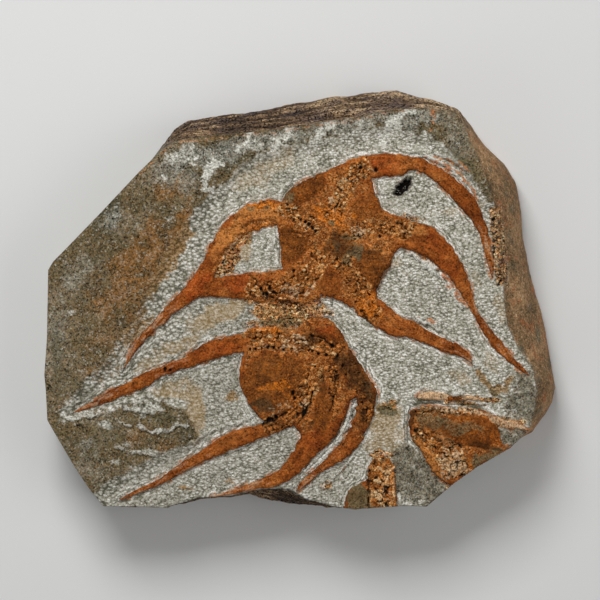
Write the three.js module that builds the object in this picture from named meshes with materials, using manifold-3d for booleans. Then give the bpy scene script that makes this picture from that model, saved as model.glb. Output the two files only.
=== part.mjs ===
// Fossil brittle stars in a block of fine sandstone, lying on its back.
// Millimetres, +Z up, +X along the block's longer side. The origin is the middle of the block's back face.
//
// The block is one stone. Its left, lower-left and lower-right sides are sawn, its top and bottom sides are
// broken through the bedding, and its right side is an old weathered joint. The upper face keeps some of the
// uncut bedding surface, and a floor is carved down around the fossils, which stand out of it in low relief.
// Each animal is a solid of its own, seated in a socket of the stone that follows its outline.
import * as THREE from 'three';
import { mergeVertices } from 'three/addons/utils/BufferGeometryUtils.js';
import Module from 'manifold-3d';

const wasm = await Module();
wasm.setup();

// ---- driving dimensions -------------------------------------------------------------------------------

const topHeight = 20;          // back to uncut bedding surface
const floorHeight = 18.4;      // back to carved floor
const seatDepth = 0.9;         // how far an animal reaches below the floor
const seatGap = 0.3;           // clearance between an animal and its socket
const discRise = 1.3;          // disc above the floor
const ossicleRise = 0.55;      // plates above the disc

const seatBottom = floorHeight - seatDepth;
const discTop = floorHeight + discRise;
const clearOfBlock = topHeight + 5;
const discEdge = 0.6;          // rounding of a disc's upper edge
const plate = { long: 1.6, wide: 1.5, deep: 2, pitch: 2.4, apart: 1 };

// ---- the block's outline ------------------------------------------------------------------------------

// Each side lists its corners clockwise from above: [x, y] on the upper face, then [x, y] on the back.
// A sawn side is upright, so it gives the upper face only.
const sawnLeft = [
  [-59.1, 6.3], [-58, 8.2], [-55.9, 10.3], [-47, 19.5], [-37.8, 29.3],
];
const brokenTop = [
  [-32, 34.8, -33.2, 35.9], [-28.5, 36.5, -30.1, 39.9], [-22.7, 37.1, -27.2, 41.8],
  [-13.4, 38.2, -20.8, 42.8], [-6.4, 38.6, -10.1, 44.2], [-0.6, 39.7, -0.6, 45.9], [5.2, 40.6, 10, 47.8],
  [11, 41.3, 17.2, 48.7], [15.6, 42.5, 22.4, 49.2], [21.4, 43.5, 26.2, 48], [28.4, 43.7, 32.6, 46.1],
  [35.3, 43.2, 36.6, 44.4],
];
const weatheredRight = [
  [37.2, 40.4, 39.9, 40.6], [39.3, 35.3, 43.5, 35.4], [41.6, 30.4, 47.8, 31.6], [43.4, 25.3, 50.6, 27.4],
  [44.9, 20.2, 51.8, 20.7], [45.9, 14.4, 52.3, 14.3], [46.5, 7.2, 53.7, 7.4], [46.8, -0.6, 55.6, 0.1],
  [47.6, -6.9, 57.5, -7.8], [50, -11.6, 58.9, -15.4], [53.8, -17.4, 60, -21.5], [54.2, -22, 59.2, -24.9],
  [54, -26.2, 57.5, -27.7], [52.7, -30.8, 54.2, -31.7],
];
const sawnRight = [
  [48.3, -35], [40.6, -39.4], [35.1, -43.3], [28.8, -48.7],
];
const brokenBottom = [
  [22.6, -48.5, 22.6, -48.5], [12.1, -49.2, 12.1, -49.2], [7.5, -48.7, 5.3, -49.1],
  [0.5, -46.8, -3, -48.7], [-3, -44.6, -9.7, -47.4], [-9.5, -44.5, -13, -46.4],
  [-12.7, -45.1, -15, -46.8], [-16.9, -46.1, -17.6, -47], [-23.8, -46.6, -24.4, -47.2],
  [-26.6, -47.4, -27.2, -47.9], [-32, -49, -32, -49], [-37.8, -48.7, -37.8, -48.7],
];
const sawnLowerLeft = [
  [-46.4, -48.6], [-49.4, -44.7], [-52.8, -39.6], [-57.5, -31.7], [-59.3, -28.5], [-59.6, -22],
  [-60, -18], [-59.4, -9.9],
];

// How a side leans out on its way down, as the share of the way from the face's edge to the back's edge at
// each of these heights. The broken sides step out along the bedding, and the weathered one swells.
const levels = [topHeight, floorHeight, 15, 8.6, 8, 2.5, 0];
const upright = [0, 0, 0, 0, 0, 0, 0];
const stepped = [0, 0.06, 0.42, 0.84, 0.74, 1, 1];
const swelling = [0, 0.02, 0.4, 0.82, 0.85, 1, 1];

// The chip is how far the back's edge is broken away, on average.
const sides = [
  { corners: sawnLeft, lean: upright, chip: 0.5 },
  { corners: brokenTop, lean: stepped, chip: 1.8 },
  { corners: weatheredRight, lean: swelling, chip: 1.8 },
  { corners: sawnRight, lean: upright, chip: 0.7 },
  { corners: brokenBottom, lean: stepped, chip: 1.6 },
  { corners: sawnLowerLeft, lean: upright, chip: 0.5 },
];

// The carved floor's edge where it meets the uncut surface. It runs out past the right and bottom sides.
const pastTheEdge = 69;
const floorOutline = [
  [-56.6, -26.6], [-54.5, -23.8], [-50.8, -19.4], [-45.7, -14.8], [-42.2, -9.2], [-38.2, -3.2],
  [-34.3, 3.1], [-30.6, 9.6], [-27.6, 16.1], [-24.8, 21.2], [-20.6, 24.9], [-14.6, 30.4], [-9.5, 33.7],
  [-3, 35.1], [4, 36.9], [11, 38.6], [20.2, 40], [28.8, 38.6], [34.2, 35.8], [38.3, 32.3], [41.1, 27.2],
  [43.2, 22.6], [pastTheEdge, 22.6], [pastTheEdge, -pastTheEdge], [-49.4, -pastTheEdge], [-47.7, -47],
  [-45.7, -45], [-41.2, -42.9], [-35.9, -39.9], [-30.3, -37.1], [-26.9, -35], [-25.2, -32.2],
  [-25.7, -29], [-28.5, -26.2], [-33.1, -24.5], [-38.9, -25], [-45.9, -26.4], [-50.5, -27.8],
  [-54, -29.4], [-56.8, -28.7],
];

// A natural pit in the floor, beside the upper star's top arm: [x, y] of its middle and its three half axes.
const pit = { at: [23.4, 25.7], turn: 0.66, half: [2, 1, 1.6] };

// ---- the animals --------------------------------------------------------------------------------------

// An arm is a line of [x, y, half its width] from the disc to the tip. A row is a line of [x, y] from the
// mouth out over the disc and onto an arm, along which two files of plates lie.
const upperStar = {
  disc: [
    [-5.5, 19.1], [-5.3, 21.9], [-4.1, 23.9], [-2.3, 25.8], [-0.2, 27], [2.4, 28.1], [5.2, 29.3],
    [8.2, 30.9], [11.4, 32.3], [14.7, 32.8], [16.5, 30], [16.1, 27.2], [17, 24.4], [18.4, 20.9],
    [21.4, 18.8], [23, 15.1], [23.5, 11.9], [21.4, 10], [20.5, 7.2], [18.6, 5.2], [17.4, 1.7],
    [17.7, -1.3], [16.1, -5.8], [13.3, -4.4], [9.8, -1.6], [6.8, -0.2], [3.5, 0.5], [1.4, -0.6],
    [-1.1, -2.5], [-4.1, -2.3], [-6, 0], [-6.2, 3.3], [-5.1, 6.8], [-5.1, 11], [-5.8, 14.4], [-6.4, 16.8],
  ],
  arms: [
    [
      [-0.2, 17.4, 2.8], [-3.9, 19.1, 2.9], [-7.4, 19.7, 3], [-10.9, 18.8, 3.2], [-13.9, 17.3, 3],
      [-16.4, 15.4, 2.8], [-18.7, 12.8, 2.4], [-20.1, 10.3, 2.2], [-21.5, 7.5, 2.1], [-23.2, 4.5, 2.3],
      [-25.9, 1.2, 2.1], [-28.5, -1, 1.7], [-30.8, -3, 1.3], [-33.1, -5.4, 1.2], [-35.4, -7.5, 1],
      [-37.5, -9.9, 0.9], [-39.4, -12.5, 0.7], [-41.5, -16.4, 0.3],
    ],
    [
      [0.5, 2.8, 4.6], [-4.1, 2.4, 4.5], [-8.8, 2.3, 3.7], [-12.2, 2.6, 3.4], [-15, 2.5, 3.1],
      [-17.6, 2.3, 2.8], [-20.1, 2.3, 2.4], [-23.2, 2.1, 2.2],
    ],
    [
      [6.3, 23.5, 4.6], [10, 27.2, 3.9], [13.3, 29.7, 3], [16.1, 30.4, 2.9], [19.3, 30.7, 2.9],
      [22.6, 30.8, 2.6], [24.9, 31.1, 1.9], [27.2, 30.9, 1.7], [29.5, 29.6, 1.7], [32.1, 28, 1.9],
      [34.6, 26, 2], [36.9, 23.6, 2], [38.8, 21.2, 2], [40.4, 18.6, 1.7], [41.6, 16.1, 1.3],
      [42.4, 13.3, 1.1], [43.1, 10.5, 1], [43.7, 7.7, 0.9], [44.1, 4.6, 0.3],
    ],
    [
      [14.4, 16.8, 3.9], [19.1, 16.1, 3.6], [22.6, 15.1, 3.5], [25.3, 14.2, 3.5], [28.4, 13.2, 3.6],
      [31.4, 11, 3.2], [34.2, 7.9, 2.6], [36.2, 4.9, 2.1], [37.9, 1.7, 1.6], [39, -1.1, 1.1],
      [40.2, -3.7, 0.9], [41.6, -6, 1], [43.2, -8.4, 1.2], [45.1, -10.9, 1.3], [46.9, -12.8, 1.2],
      [48.8, -14.8, 0.9], [50.6, -16.4, 0.8], [52.5, -18.1, 0.3],
    ],
    [
      [12.8, 0.3, 3.2], [15.6, -2.5, 3.1], [18.6, -4.6, 2.9], [21.6, -6.7, 2.6], [24.9, -7.6, 2.2],
      [28.4, -9, 1.7], [31.4, -10.4, 1.6], [34.2, -11.6, 1.5], [36.5, -12.7, 1.3], [38.3, -14, 0.9],
      [39.3, -15.3, 0.3],
    ],
  ],
  rows: [
    [[6, 13.5], [1, 16.6], [-4, 18.8], [-8, 19.4]],
    [[6, 11], [2.6, 6], [-2, 3.4], [-8, 1.2], [-13, 2]],
    [[8, 15.6], [8, 20], [10, 25], [14, 29]],
    [[10, 13.6], [15, 15.4], [21, 15.8], [27, 15.6]],
    [[9, 10.6], [11.6, 4.6], [13.8, 0], [16, -4]],
  ],
};
const lowerStar = {
  disc: [
    [-13.9, -12.7], [-15, -17.4], [-14.3, -21.1], [-12.9, -24.3], [-11.3, -27.3], [-9.5, -29],
    [-5.8, -28.5], [-2.5, -29.4], [-0.4, -32.4], [3.5, -32.2], [7.2, -30.3], [9.8, -27.1], [11.2, -24.3],
    [12.6, -23.6], [15.1, -25.7], [17.2, -25], [17.4, -22.9], [16.1, -19.9], [14.7, -17.1], [12.8, -14.1],
    [11, -12.2], [10.5, -10.6], [9.3, -8.3], [7.5, -6.2], [5.4, -4.6], [2.8, -4.4], [0.3, -5.5],
    [-1.3, -7.1], [-4.6, -6.7], [-8.8, -6.8], [-11.8, -7.4], [-13.6, -9],
  ],
  arms: [
    [
      [5.2, -11.1, 2.1], [1.2, -10.6, 2.8], [-3, -10.2, 3.1], [-7.6, -9.7, 3], [-11.1, -9.9, 2.9],
      [-13.9, -10.6, 2.3], [-16.9, -11.2, 2.3], [-20.4, -12.1, 2.2], [-23.8, -13.5, 2],
      [-27.3, -15.1, 1.5], [-30.8, -16.5, 1.3], [-33.6, -17.6, 1.3], [-35.7, -18.7, 1.7],
      [-37.8, -19.8, 1.7], [-40.1, -20.9, 1.4], [-42.4, -21.9, 1.4], [-44.7, -23, 1.3], [-47, -24.2, 1],
      [-49.4, -25.2, 0.8], [-53.3, -26.8, 0.3],
    ],
    [
      [1.2, -23.8, 2.6], [-1.1, -26.4, 2.7], [-4.1, -28.4, 2.3], [-7.6, -30.1, 2], [-10.9, -31.6, 1.8],
      [-13.9, -32.4, 2.1], [-16.9, -33.5, 2.2], [-19.9, -35, 1.8], [-22.5, -36.5, 1.5], [-25, -37.8, 1.3],
      [-27.6, -39.4, 1.3], [-30.1, -41, 1.1], [-33.1, -42.8, 0.9], [-36.1, -44.2, 0.7],
      [-39.2, -45.5, 0.6], [-42.4, -47.1, 0.3],
    ],
    [
      [6.3, -23.8, 4.6], [5.4, -27.3, 4.4], [4, -30.8, 3.9], [2.1, -33.6, 3.1], [0, -36.5, 2.4],
      [-2.3, -39.4, 2.2], [-5.1, -41.7, 1.9], [-8.5, -43.1, 1.3], [-12.5, -44.1, 0.9], [-16, -45.2, 0.7],
      [-21.1, -46.4, 0.3],
    ],
    [
      [14.7, -22, 2.8], [14.7, -25.2, 2.4], [14, -28, 2.2], [13, -30.8, 2], [11.4, -33.5, 1.9],
      [9.1, -35.9, 1.9], [6.5, -38.1, 1.5], [4, -40, 1.1], [1.7, -41.9, 1], [-0.4, -43.9, 0.8],
      [-1.3, -45, 0.3],
    ],
  ],
  rows: [
    [[6, -13], [2, -11.4], [-4, -10.2], [-10, -9.9], [-13.6, -10.4]],
    [[5, -15], [2.6, -19.6], [0.6, -24.4], [-3, -27.6], [-8, -29.8]],
    [[7, -15.6], [8, -21], [6.6, -26], [4.4, -30]],
    [[9, -14.6], [12.4, -19], [14.6, -24], [13.8, -28.4]],
    [[7, -11.4], [6.6, -8.6], [4.6, -6.6]],
  ],
};

// Two more animals run out through the edge, so only a part of each is here.
const cornerStar = {
  disc: [
    [24.6, -28.7], [25.1, -26.4], [27.4, -25.5], [30.4, -25.2], [33.5, -25.7], [36.5, -25.5],
    [39.3, -25.5], [41.6, -26.2], [43.7, -27.6], [45.1, -29.6], [45.8, -31.7], [45.8, -33.6], [46, -35.2],
    [45.1, -37.8], [41.1, -40.3], [36.9, -43.3], [34.6, -44.7], [33.5, -43.3], [31.8, -42.2], [30, -40.6],
    [28.4, -38.2], [27.2, -35.4], [25.3, -33.4], [24.6, -31],
  ],
  arms: [
    [
      [33.2, -26.6, 0.9], [36, -26.4, 0.9], [38.8, -26.4, 0.9], [41.3, -26.9, 0.9], [43.7, -27.8, 0.9],
      [46, -29, 1.1], [48.3, -29.6, 1.2], [50.6, -30.2, 0.9], [52.9, -30.9, 0.4],
    ],
  ],
  rows: [
    [[26.5, -30.6], [30, -33.4], [33, -36.6], [35.2, -40], [36.6, -42.6]],
    [[29.6, -30.8], [33.6, -34], [37, -37.4], [38.8, -40.4]],
  ],
};
const edgeArm = {
  disc: [
    [9.6, -47], [10.5, -45], [12.6, -43.3], [14.9, -41.9], [15.1, -39.6], [16.3, -37.5], [18.1, -36.6],
    [20.2, -37.1], [21.6, -39.4], [21.6, -42.4], [22.1, -45.7], [21.9, -52], [9.6, -52],
  ],
  arms: [],
  rows: [
    [[18.4, -37.6], [17.6, -41], [17.4, -44.6], [17.4, -48]],
    [[19.6, -38.6], [19.6, -42], [19.8, -45], [19.8, -48]],
  ],
};
const looseRays = {
  disc: null,
  arms: [
    [
      [27, -23.4, 0.3], [29.5, -22.9, 0.7], [32.3, -23, 0.9], [35.3, -23.6, 0.8], [38.3, -23.5, 0.6],
      [40.9, -24, 0.3],
    ],
  ],
  rows: [],
};

// ---- making solids ------------------------------------------------------------------------------------

const plan = (points) => points.map(([x, y]) => new THREE.Vector2(x, y));

// A three.js geometry as a solid for joining and cutting.
function solidOf(geometry) {
  const bare = geometry.index ? geometry.toNonIndexed() : geometry.clone();
  for (const name of Object.keys(bare.attributes)) if (name !== 'position') bare.deleteAttribute(name);
  const merged = mergeVertices(bare, 1e-4);
  return new wasm.Manifold(new wasm.Mesh({
    numProp: 3,
    vertProperties: new Float32Array(merged.attributes.position.array),
    triVerts: new Uint32Array(merged.index.array),
  }));
}

// A solid as a flat-shaded three.js geometry.
function geometryOf(solid) {
  const mesh = solid.getMesh();
  const shape = new THREE.BufferGeometry();
  shape.setAttribute('position', new THREE.BufferAttribute(new Float32Array(mesh.vertProperties), 3));
  shape.setIndex(new THREE.BufferAttribute(new Uint32Array(mesh.triVerts), 1));
  const flat = shape.toNonIndexed();
  flat.computeVertexNormals();
  return flat;
}

// Skins a stack of loops, each with the same number of points and counterclockwise seen from the last loop's
// side. The two end loops are closed by triangles found in the plane that flatten maps them to.
function skin(loops, flatten) {
  const count = loops[0].length;
  const index = [];
  for (let k = 0; k + 1 < loops.length; k++) {
    for (let i = 0; i < count; i++) {
      const a = k * count + i;
      const b = k * count + (i + 1) % count;
      index.push(a, b, b + count, a, b + count, a + count);
    }
  }
  const cap = THREE.ShapeUtils.triangulateShape(loops[0].map(flatten), []);
  const last = (loops.length - 1) * count;
  for (const [a, b, c] of cap) index.push(a, c, b, last + a, last + b, last + c);
  const shape = new THREE.BufferGeometry().setFromPoints(loops.flat());
  shape.setIndex(index);
  return shape;
}

// An upright prism over an outline.
function prism(outline, bottom, top) {
  const height = { depth: top - bottom, bevelEnabled: false };
  const shape = new THREE.ExtrudeGeometry(new THREE.Shape(plan(outline)), height);
  return solidOf(shape.translate(0, 0, bottom));
}

// A rectangle with room round an outline.
function boxRound(outline) {
  const { min, max } = new THREE.Box2().setFromPoints(plan(outline)).expandByScalar(4);
  return [[min.x, min.y], [max.x, min.y], [max.x, max.y], [min.x, max.y]];
}

// A disc grown sideways by grow, whose upper edge is cut back over the last part of its height.
function discSolid(outline, grow, bottom, top, edge) {
  const shape = new THREE.ExtrudeGeometry(new THREE.Shape(plan(outline)), {
    depth: top - bottom - edge,
    bevelThickness: edge,
    bevelSize: edge,
    bevelOffset: grow - edge,
    bevelSegments: 1,
  });
  const underside = prism(boxRound(outline), bottom - 2 * edge, bottom);
  return solidOf(shape.translate(0, 0, bottom)).subtract(underside);
}

// A bar that follows an arm's line. The section gets the arm's half width there, and lists [across, height]
// counterclockwise seen from the tip.
function barSolid(line, section) {
  const points = line.map(([x, y, half]) => new THREE.Vector3(x, y, half));
  const path = new THREE.CatmullRomCurve3(points, false, 'centripetal');
  const loops = [];
  const steps = line.length - 1;
  for (let i = 0; i <= steps; i++) {
    const here = path.getPoint(i / steps);
    const along = path.getTangent(i / steps);
    const across = new THREE.Vector2(-along.y, along.x).normalize();
    const place = ([n, z]) => new THREE.Vector3(here.x + across.x * n, here.y + across.y * n, z);
    loops.push(section(here.z).map(place));
  }
  const corner = loops[0][0];
  return solidOf(skin(loops, (p) => new THREE.Vector2(Math.hypot(p.x - corner.x, p.y - corner.y), p.z)));
}

// An arm is round-backed: its ridge stands above the floor by a share of its half width.
function armSolid(line) {
  return barSolid(line, (half) => {
    const rise = Math.min(0.35 + 0.5 * half, 1.7);
    const shoulder = floorHeight + 0.55 * rise;
    return [
      [-half, seatBottom], [half, seatBottom], [half, floorHeight], [0.72 * half, shoulder],
      [0, floorHeight + rise], [-0.72 * half, shoulder], [-half, floorHeight],
    ];
  });
}

// Two files of plates along each row. Each plate leans and sits a little its own way.
function plateSolids(rows) {
  const made = [];
  rows.forEach((row, which) => {
    const points = row.map(([x, y]) => new THREE.Vector3(x, y, 0));
    const path = new THREE.CatmullRomCurve3(points, false, 'centripetal');
    const count = Math.round(path.getLength() / plate.pitch);
    for (let i = 0; i < count; i++) {
      const here = path.getPointAt((i + 0.5) / count);
      const along = path.getTangentAt((i + 0.5) / count);
      for (const side of [-1, 1]) {
        const wobble = Math.sin(7.3 * i + 2.9 * which + side);
        const shape = new THREE.BoxGeometry(plate.long, plate.wide + 0.15 * wobble, plate.deep);
        shape.rotateX(0.12 * wobble);
        shape.rotateY(0.1 * side);
        shape.rotateZ(Math.atan2(along.y, along.x) + 0.25 * side);
        const apart = plate.apart * side;
        const middle = discTop + ossicleRise - plate.deep / 2 + 0.1 * wobble;
        shape.translate(here.x - along.y * apart, here.y + along.x * apart, middle);
        made.push(solidOf(shape));
      }
    }
  });
  return made;
}

const join = (solids) => solids.reduce((all, next) => all.add(next));

// An animal: its disc, arms and plates in one solid.
function animalSolid({ disc, arms, rows }) {
  const pieces = arms.map(armSolid);
  if (disc) pieces.push(discSolid(disc, 0, seatBottom, discTop, discEdge));
  return join([...pieces, ...plateSolids(rows)]);
}

// What an animal's socket takes out of the stone: its outline, grown by the clearance.
function socketSolid({ disc, arms }) {
  const bottom = seatBottom - seatGap;
  const pieces = arms.map((line) => barSolid(line, (half) => {
    const wide = half + seatGap;
    return [[-wide, bottom], [wide, bottom], [wide, clearOfBlock], [-wide, clearOfBlock]];
  }));
  if (disc) pieces.push(discSolid(disc, seatGap, bottom, clearOfBlock, 0.01));
  return join(pieces);
}

// The block before it is carved: its sides as a stack of loops from the back up to the face.
function blockSolid() {
  const loops = levels.map((z, level) => sides.flatMap(({ corners, lean }) => {
    const share = lean[level];
    return corners.map(([x, y, backX = x, backY = y]) => (
      new THREE.Vector3(x + (backX - x) * share, y + (backY - y) * share, z)
    ));
  }));
  const chipAt = (chip, i) => chip * (1 + 0.4 * Math.sin(2.3 * i));
  const chips = sides.flatMap(({ corners, chip }) => corners.map((_, i) => chipAt(chip, i)));
  const back = loops[loops.length - 1];
  back.forEach((corner, i) => corner.multiplyScalar(1 - chips[i] / Math.hypot(corner.x, corner.y)));
  for (const loop of loops) loop.reverse();
  return solidOf(skin(loops.reverse(), (p) => new THREE.Vector2(p.x, p.y)));
}

function pitSolid() {
  const hollow = new THREE.IcosahedronGeometry(1, 1).scale(...pit.half).rotateZ(pit.turn);
  return solidOf(hollow.translate(...pit.at, floorHeight));
}

// ---- the model ----------------------------------------------------------------------------------------

const stoneColour = new THREE.MeshStandardMaterial({ color: 0x8f8a7d, roughness: 0.92, metalness: 0 });
const fossilColour = new THREE.MeshStandardMaterial({ color: 0xa4521c, roughness: 0.85, metalness: 0 });

const animals = {
  upper_star: upperStar,
  lower_star: lowerStar,
  corner_star: cornerStar,
  edge_arm: edgeArm,
  loose_rays: looseRays,
};

// What runs out past the face's edge is lost with the stone that carried it.
const faceOutline = sides.flatMap(({ corners }) => corners.map(([x, y]) => [x, y]));
const withinFace = prism(faceOutline, 0, clearOfBlock + 1);

let stone = blockSolid().subtract(prism(floorOutline, floorHeight, clearOfBlock)).subtract(pitSolid());
const group = new THREE.Group();
for (const [name, animal] of Object.entries(animals)) {
  stone = stone.subtract(socketSolid(animal));
  const mesh = new THREE.Mesh(geometryOf(animalSolid(animal).intersect(withinFace)), fossilColour);
  mesh.name = name;
  group.add(mesh);
}
const slab = new THREE.Mesh(geometryOf(stone), stoneColour);
slab.name = 'stone_slab';
group.add(slab);

export default group;
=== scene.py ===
# Fossil brittle stars in a block of sandstone: the looks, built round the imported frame.
# Shapes are worked out in millimetres in the frame's own axes and turned into metres when a mesh is made.
import math

import bmesh
import bpy
import numpy as np
from mathutils import Matrix, Vector


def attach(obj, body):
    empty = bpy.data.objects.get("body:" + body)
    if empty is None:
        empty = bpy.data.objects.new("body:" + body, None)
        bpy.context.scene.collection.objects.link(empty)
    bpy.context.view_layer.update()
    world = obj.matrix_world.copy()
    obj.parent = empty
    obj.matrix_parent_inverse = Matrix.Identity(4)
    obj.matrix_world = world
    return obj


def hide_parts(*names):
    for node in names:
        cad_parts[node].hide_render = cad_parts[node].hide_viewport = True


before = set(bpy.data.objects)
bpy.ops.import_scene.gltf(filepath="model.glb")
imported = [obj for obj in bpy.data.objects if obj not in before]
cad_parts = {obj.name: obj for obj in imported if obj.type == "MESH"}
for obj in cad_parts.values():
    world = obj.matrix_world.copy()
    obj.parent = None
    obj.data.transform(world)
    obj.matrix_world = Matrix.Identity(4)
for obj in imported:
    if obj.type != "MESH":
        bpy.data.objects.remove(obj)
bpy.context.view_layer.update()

MM = 0.001

# ---- driving sizes, in millimetres ---------------------------------------------------------------

TOP = 20.0              # uncut bedding surface above the back
FLOOR = 18.4            # carved floor above the back
SEAT = 0.8              # how far a star's piece reaches below the floor
BEND = 14.0             # below this height the floor's relief no longer warps the block
SLAB_VOXEL = 0.30       # grid of the block's surface before it is thinned out
SLAB_TRIANGLES = 194000
STAR_STEP = 0.19        # grid of a star's surface
TIP_RISE = 0.36         # how high an arm stands where it ends
RISE_A_WIDTH = 0.42     # how much more for each millimetre of its half width
MOST_RISE = 1.2         # the most that an arm rises
DISC_HALF = 3.4         # half width that a disc counts as
HOLE_DEPTH = 0.6        # holes and cracks in the animals
CREVICE_DEPTH = 0.18    # gaps between plates
PELLET = 0.92           # spacing of the scribe's round marks, at the left
FLAKE = 0.74            # spacing of its flat marks, at the right
STROKE = (2.6, 0.42)    # length and width of its strokes along the arms
SHOWN_PELLET = 0.84     # the same spacings in the colours
SHOWN_FLAKE = 0.66
DOT_RELIEF = 0.26       # height of the round marks
FLAKE_LOSS = 0.12       # how much lower the flat ones are
STROKE_GAIN = 0.1       # how much higher the strokes are
RIDGE_RISE = 0.5        # ridges of crushed stone
LEE_DEPTH = 0.3         # groove beside a ridge
LEE_SHIFT = (0.12, -0.38)
ARM_APART = 60          # added from one arm to the next, so that no two share a pattern
SIDE_APART = 40         # the same for the two sides of an arm
DEBRIS_SEED = 77
RIDGE_SEED = 43

# ---- camera, floor and lamps ---------------------------------------------------------------------

VIEW_WIDTH = 139.2      # what the camera sees of the face from side to side, in millimetres
LOOK_AT = (-0.65, -0.65)
LENS, SENSOR = 200.0, 36.0
FLOOR_HALF = 1.5        # in metres, as are the lamps' places and sizes
FLOOR_GREY = (0.78, 0.78, 0.77, 1)
SKY = 0.15              # strength of the light from all round
LAMPS = {               # place, size, power in watts
    "key": ((-0.16, 0.42, 0.5), 0.3, 3.2),
    "fill": ((0.5, -0.1, 0.55), 0.5, 1.1),
    "low_fill": ((-0.45, -0.4, 0.4), 0.5, 0.6),
}
AIM = (0, 0, 0.01)

# ---- the block's outline -------------------------------------------------------------------------

# Corners clockwise from above: x, y on the face, then x, y on the back where the side leans.
SAWN_LEFT = [(-59.1, 6.3), (-58, 8.2), (-55.9, 10.3), (-47, 19.5), (-37.8, 29.3)]
BROKEN_TOP = [
    (-32, 34.8, -33.2, 35.9), (-28.5, 36.5, -30.1, 39.9), (-22.7, 37.1, -27.2, 41.8),
    (-13.4, 38.2, -20.8, 42.8), (-6.4, 38.6, -10.1, 44.2), (-0.6, 39.7, -0.6, 45.9),
    (5.2, 40.6, 10, 47.8), (11, 41.3, 17.2, 48.7), (15.6, 42.5, 22.4, 49.2), (21.4, 43.5, 26.2, 48),
    (28.4, 43.7, 32.6, 46.1), (35.3, 43.2, 36.6, 44.4),
]
WEATHERED_RIGHT = [
    (37.2, 40.4, 39.9, 40.6), (39.3, 35.3, 43.5, 35.4), (41.6, 30.4, 47.8, 31.6),
    (43.4, 25.3, 50.6, 27.4), (44.9, 20.2, 51.8, 20.7), (45.9, 14.4, 52.3, 14.3), (46.5, 7.2, 53.7, 7.4),
    (46.8, -0.6, 55.6, 0.1), (47.6, -6.9, 57.5, -7.8), (50, -11.6, 58.9, -15.4), (53.8, -17.4, 60, -21.5),
    (54.2, -22, 59.2, -24.9), (54, -26.2, 57.5, -27.7), (52.7, -30.8, 54.2, -31.7),
]
SAWN_RIGHT = [(48.3, -35), (40.6, -39.4), (35.1, -43.3), (28.8, -48.7)]
BROKEN_BOTTOM = [
    (22.6, -48.5), (12.1, -49.2), (7.5, -48.7, 5.3, -49.1), (0.5, -46.8, -3, -48.7),
    (-3, -44.6, -9.7, -47.4), (-9.5, -44.5, -13, -46.4), (-12.7, -45.1, -15, -46.8),
    (-16.9, -46.1, -17.6, -47), (-23.8, -46.6, -24.4, -47.2), (-26.6, -47.4, -27.2, -47.9), (-32, -49),
    (-37.8, -48.7),
]
SAWN_LOWER_LEFT = [
    (-46.4, -48.6), (-49.4, -44.7), (-52.8, -39.6), (-57.5, -31.7), (-59.3, -28.5), (-59.6, -22),
    (-60, -18), (-59.4, -9.9),
]

# How a side leans out on its way down, as the share of the way from the face's edge to the back's edge.
LEVELS = [TOP, FLOOR, 15, 12, 8.6, 8, 5, 2.5, 0]
UPRIGHT = [0] * len(LEVELS)
STEPPED = [0, 0.06, 0.42, 0.62, 0.84, 0.76, 0.9, 1, 0.97]
SWELLING = [0, 0.02, 0.4, 0.64, 0.82, 0.85, 0.94, 1, 0.9]
SIDES = [
    ("sawn", SAWN_LEFT, UPRIGHT), ("broken", BROKEN_TOP, STEPPED),
    ("weathered", WEATHERED_RIGHT, SWELLING), ("sawn", SAWN_RIGHT, UPRIGHT),
    ("broken", BROKEN_BOTTOM, STEPPED), ("sawn", SAWN_LOWER_LEFT, UPRIGHT),
]

# The carved floor's edge. It runs out past the right and bottom sides.
CARVED = [
    (-56.6, -26.6), (-54.5, -23.8), (-50.8, -19.4), (-45.7, -14.8), (-42.2, -9.2), (-38.4, -3),
    (-35.3, 4), (-32.3, 10.4), (-28.6, 16.5), (-24.8, 21.2), (-20.6, 24.9), (-14.6, 30.4), (-9.5, 33.7),
    (-3, 35.1), (4, 36.9), (11, 38.6), (20.2, 40), (28.8, 38.6), (33.4, 34.8), (37.2, 31.4), (40.4, 26.8),
    (43.2, 22.6), (69, 22.6), (69, -69), (-49.4, -69), (-49.2, -46), (-46.6, -43.6), (-42.2, -41.2),
    (-36.9, -38.2), (-31.2, -35.6), (-27.6, -33.8), (-25.2, -32.2), (-25.7, -29), (-28.5, -26.2),
    (-33.1, -24.5), (-38.9, -25), (-45.9, -26.4), (-50.5, -27.8), (-54, -29.4), (-56.8, -28.7),
]

# ---- the animals ---------------------------------------------------------------------------------

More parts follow.
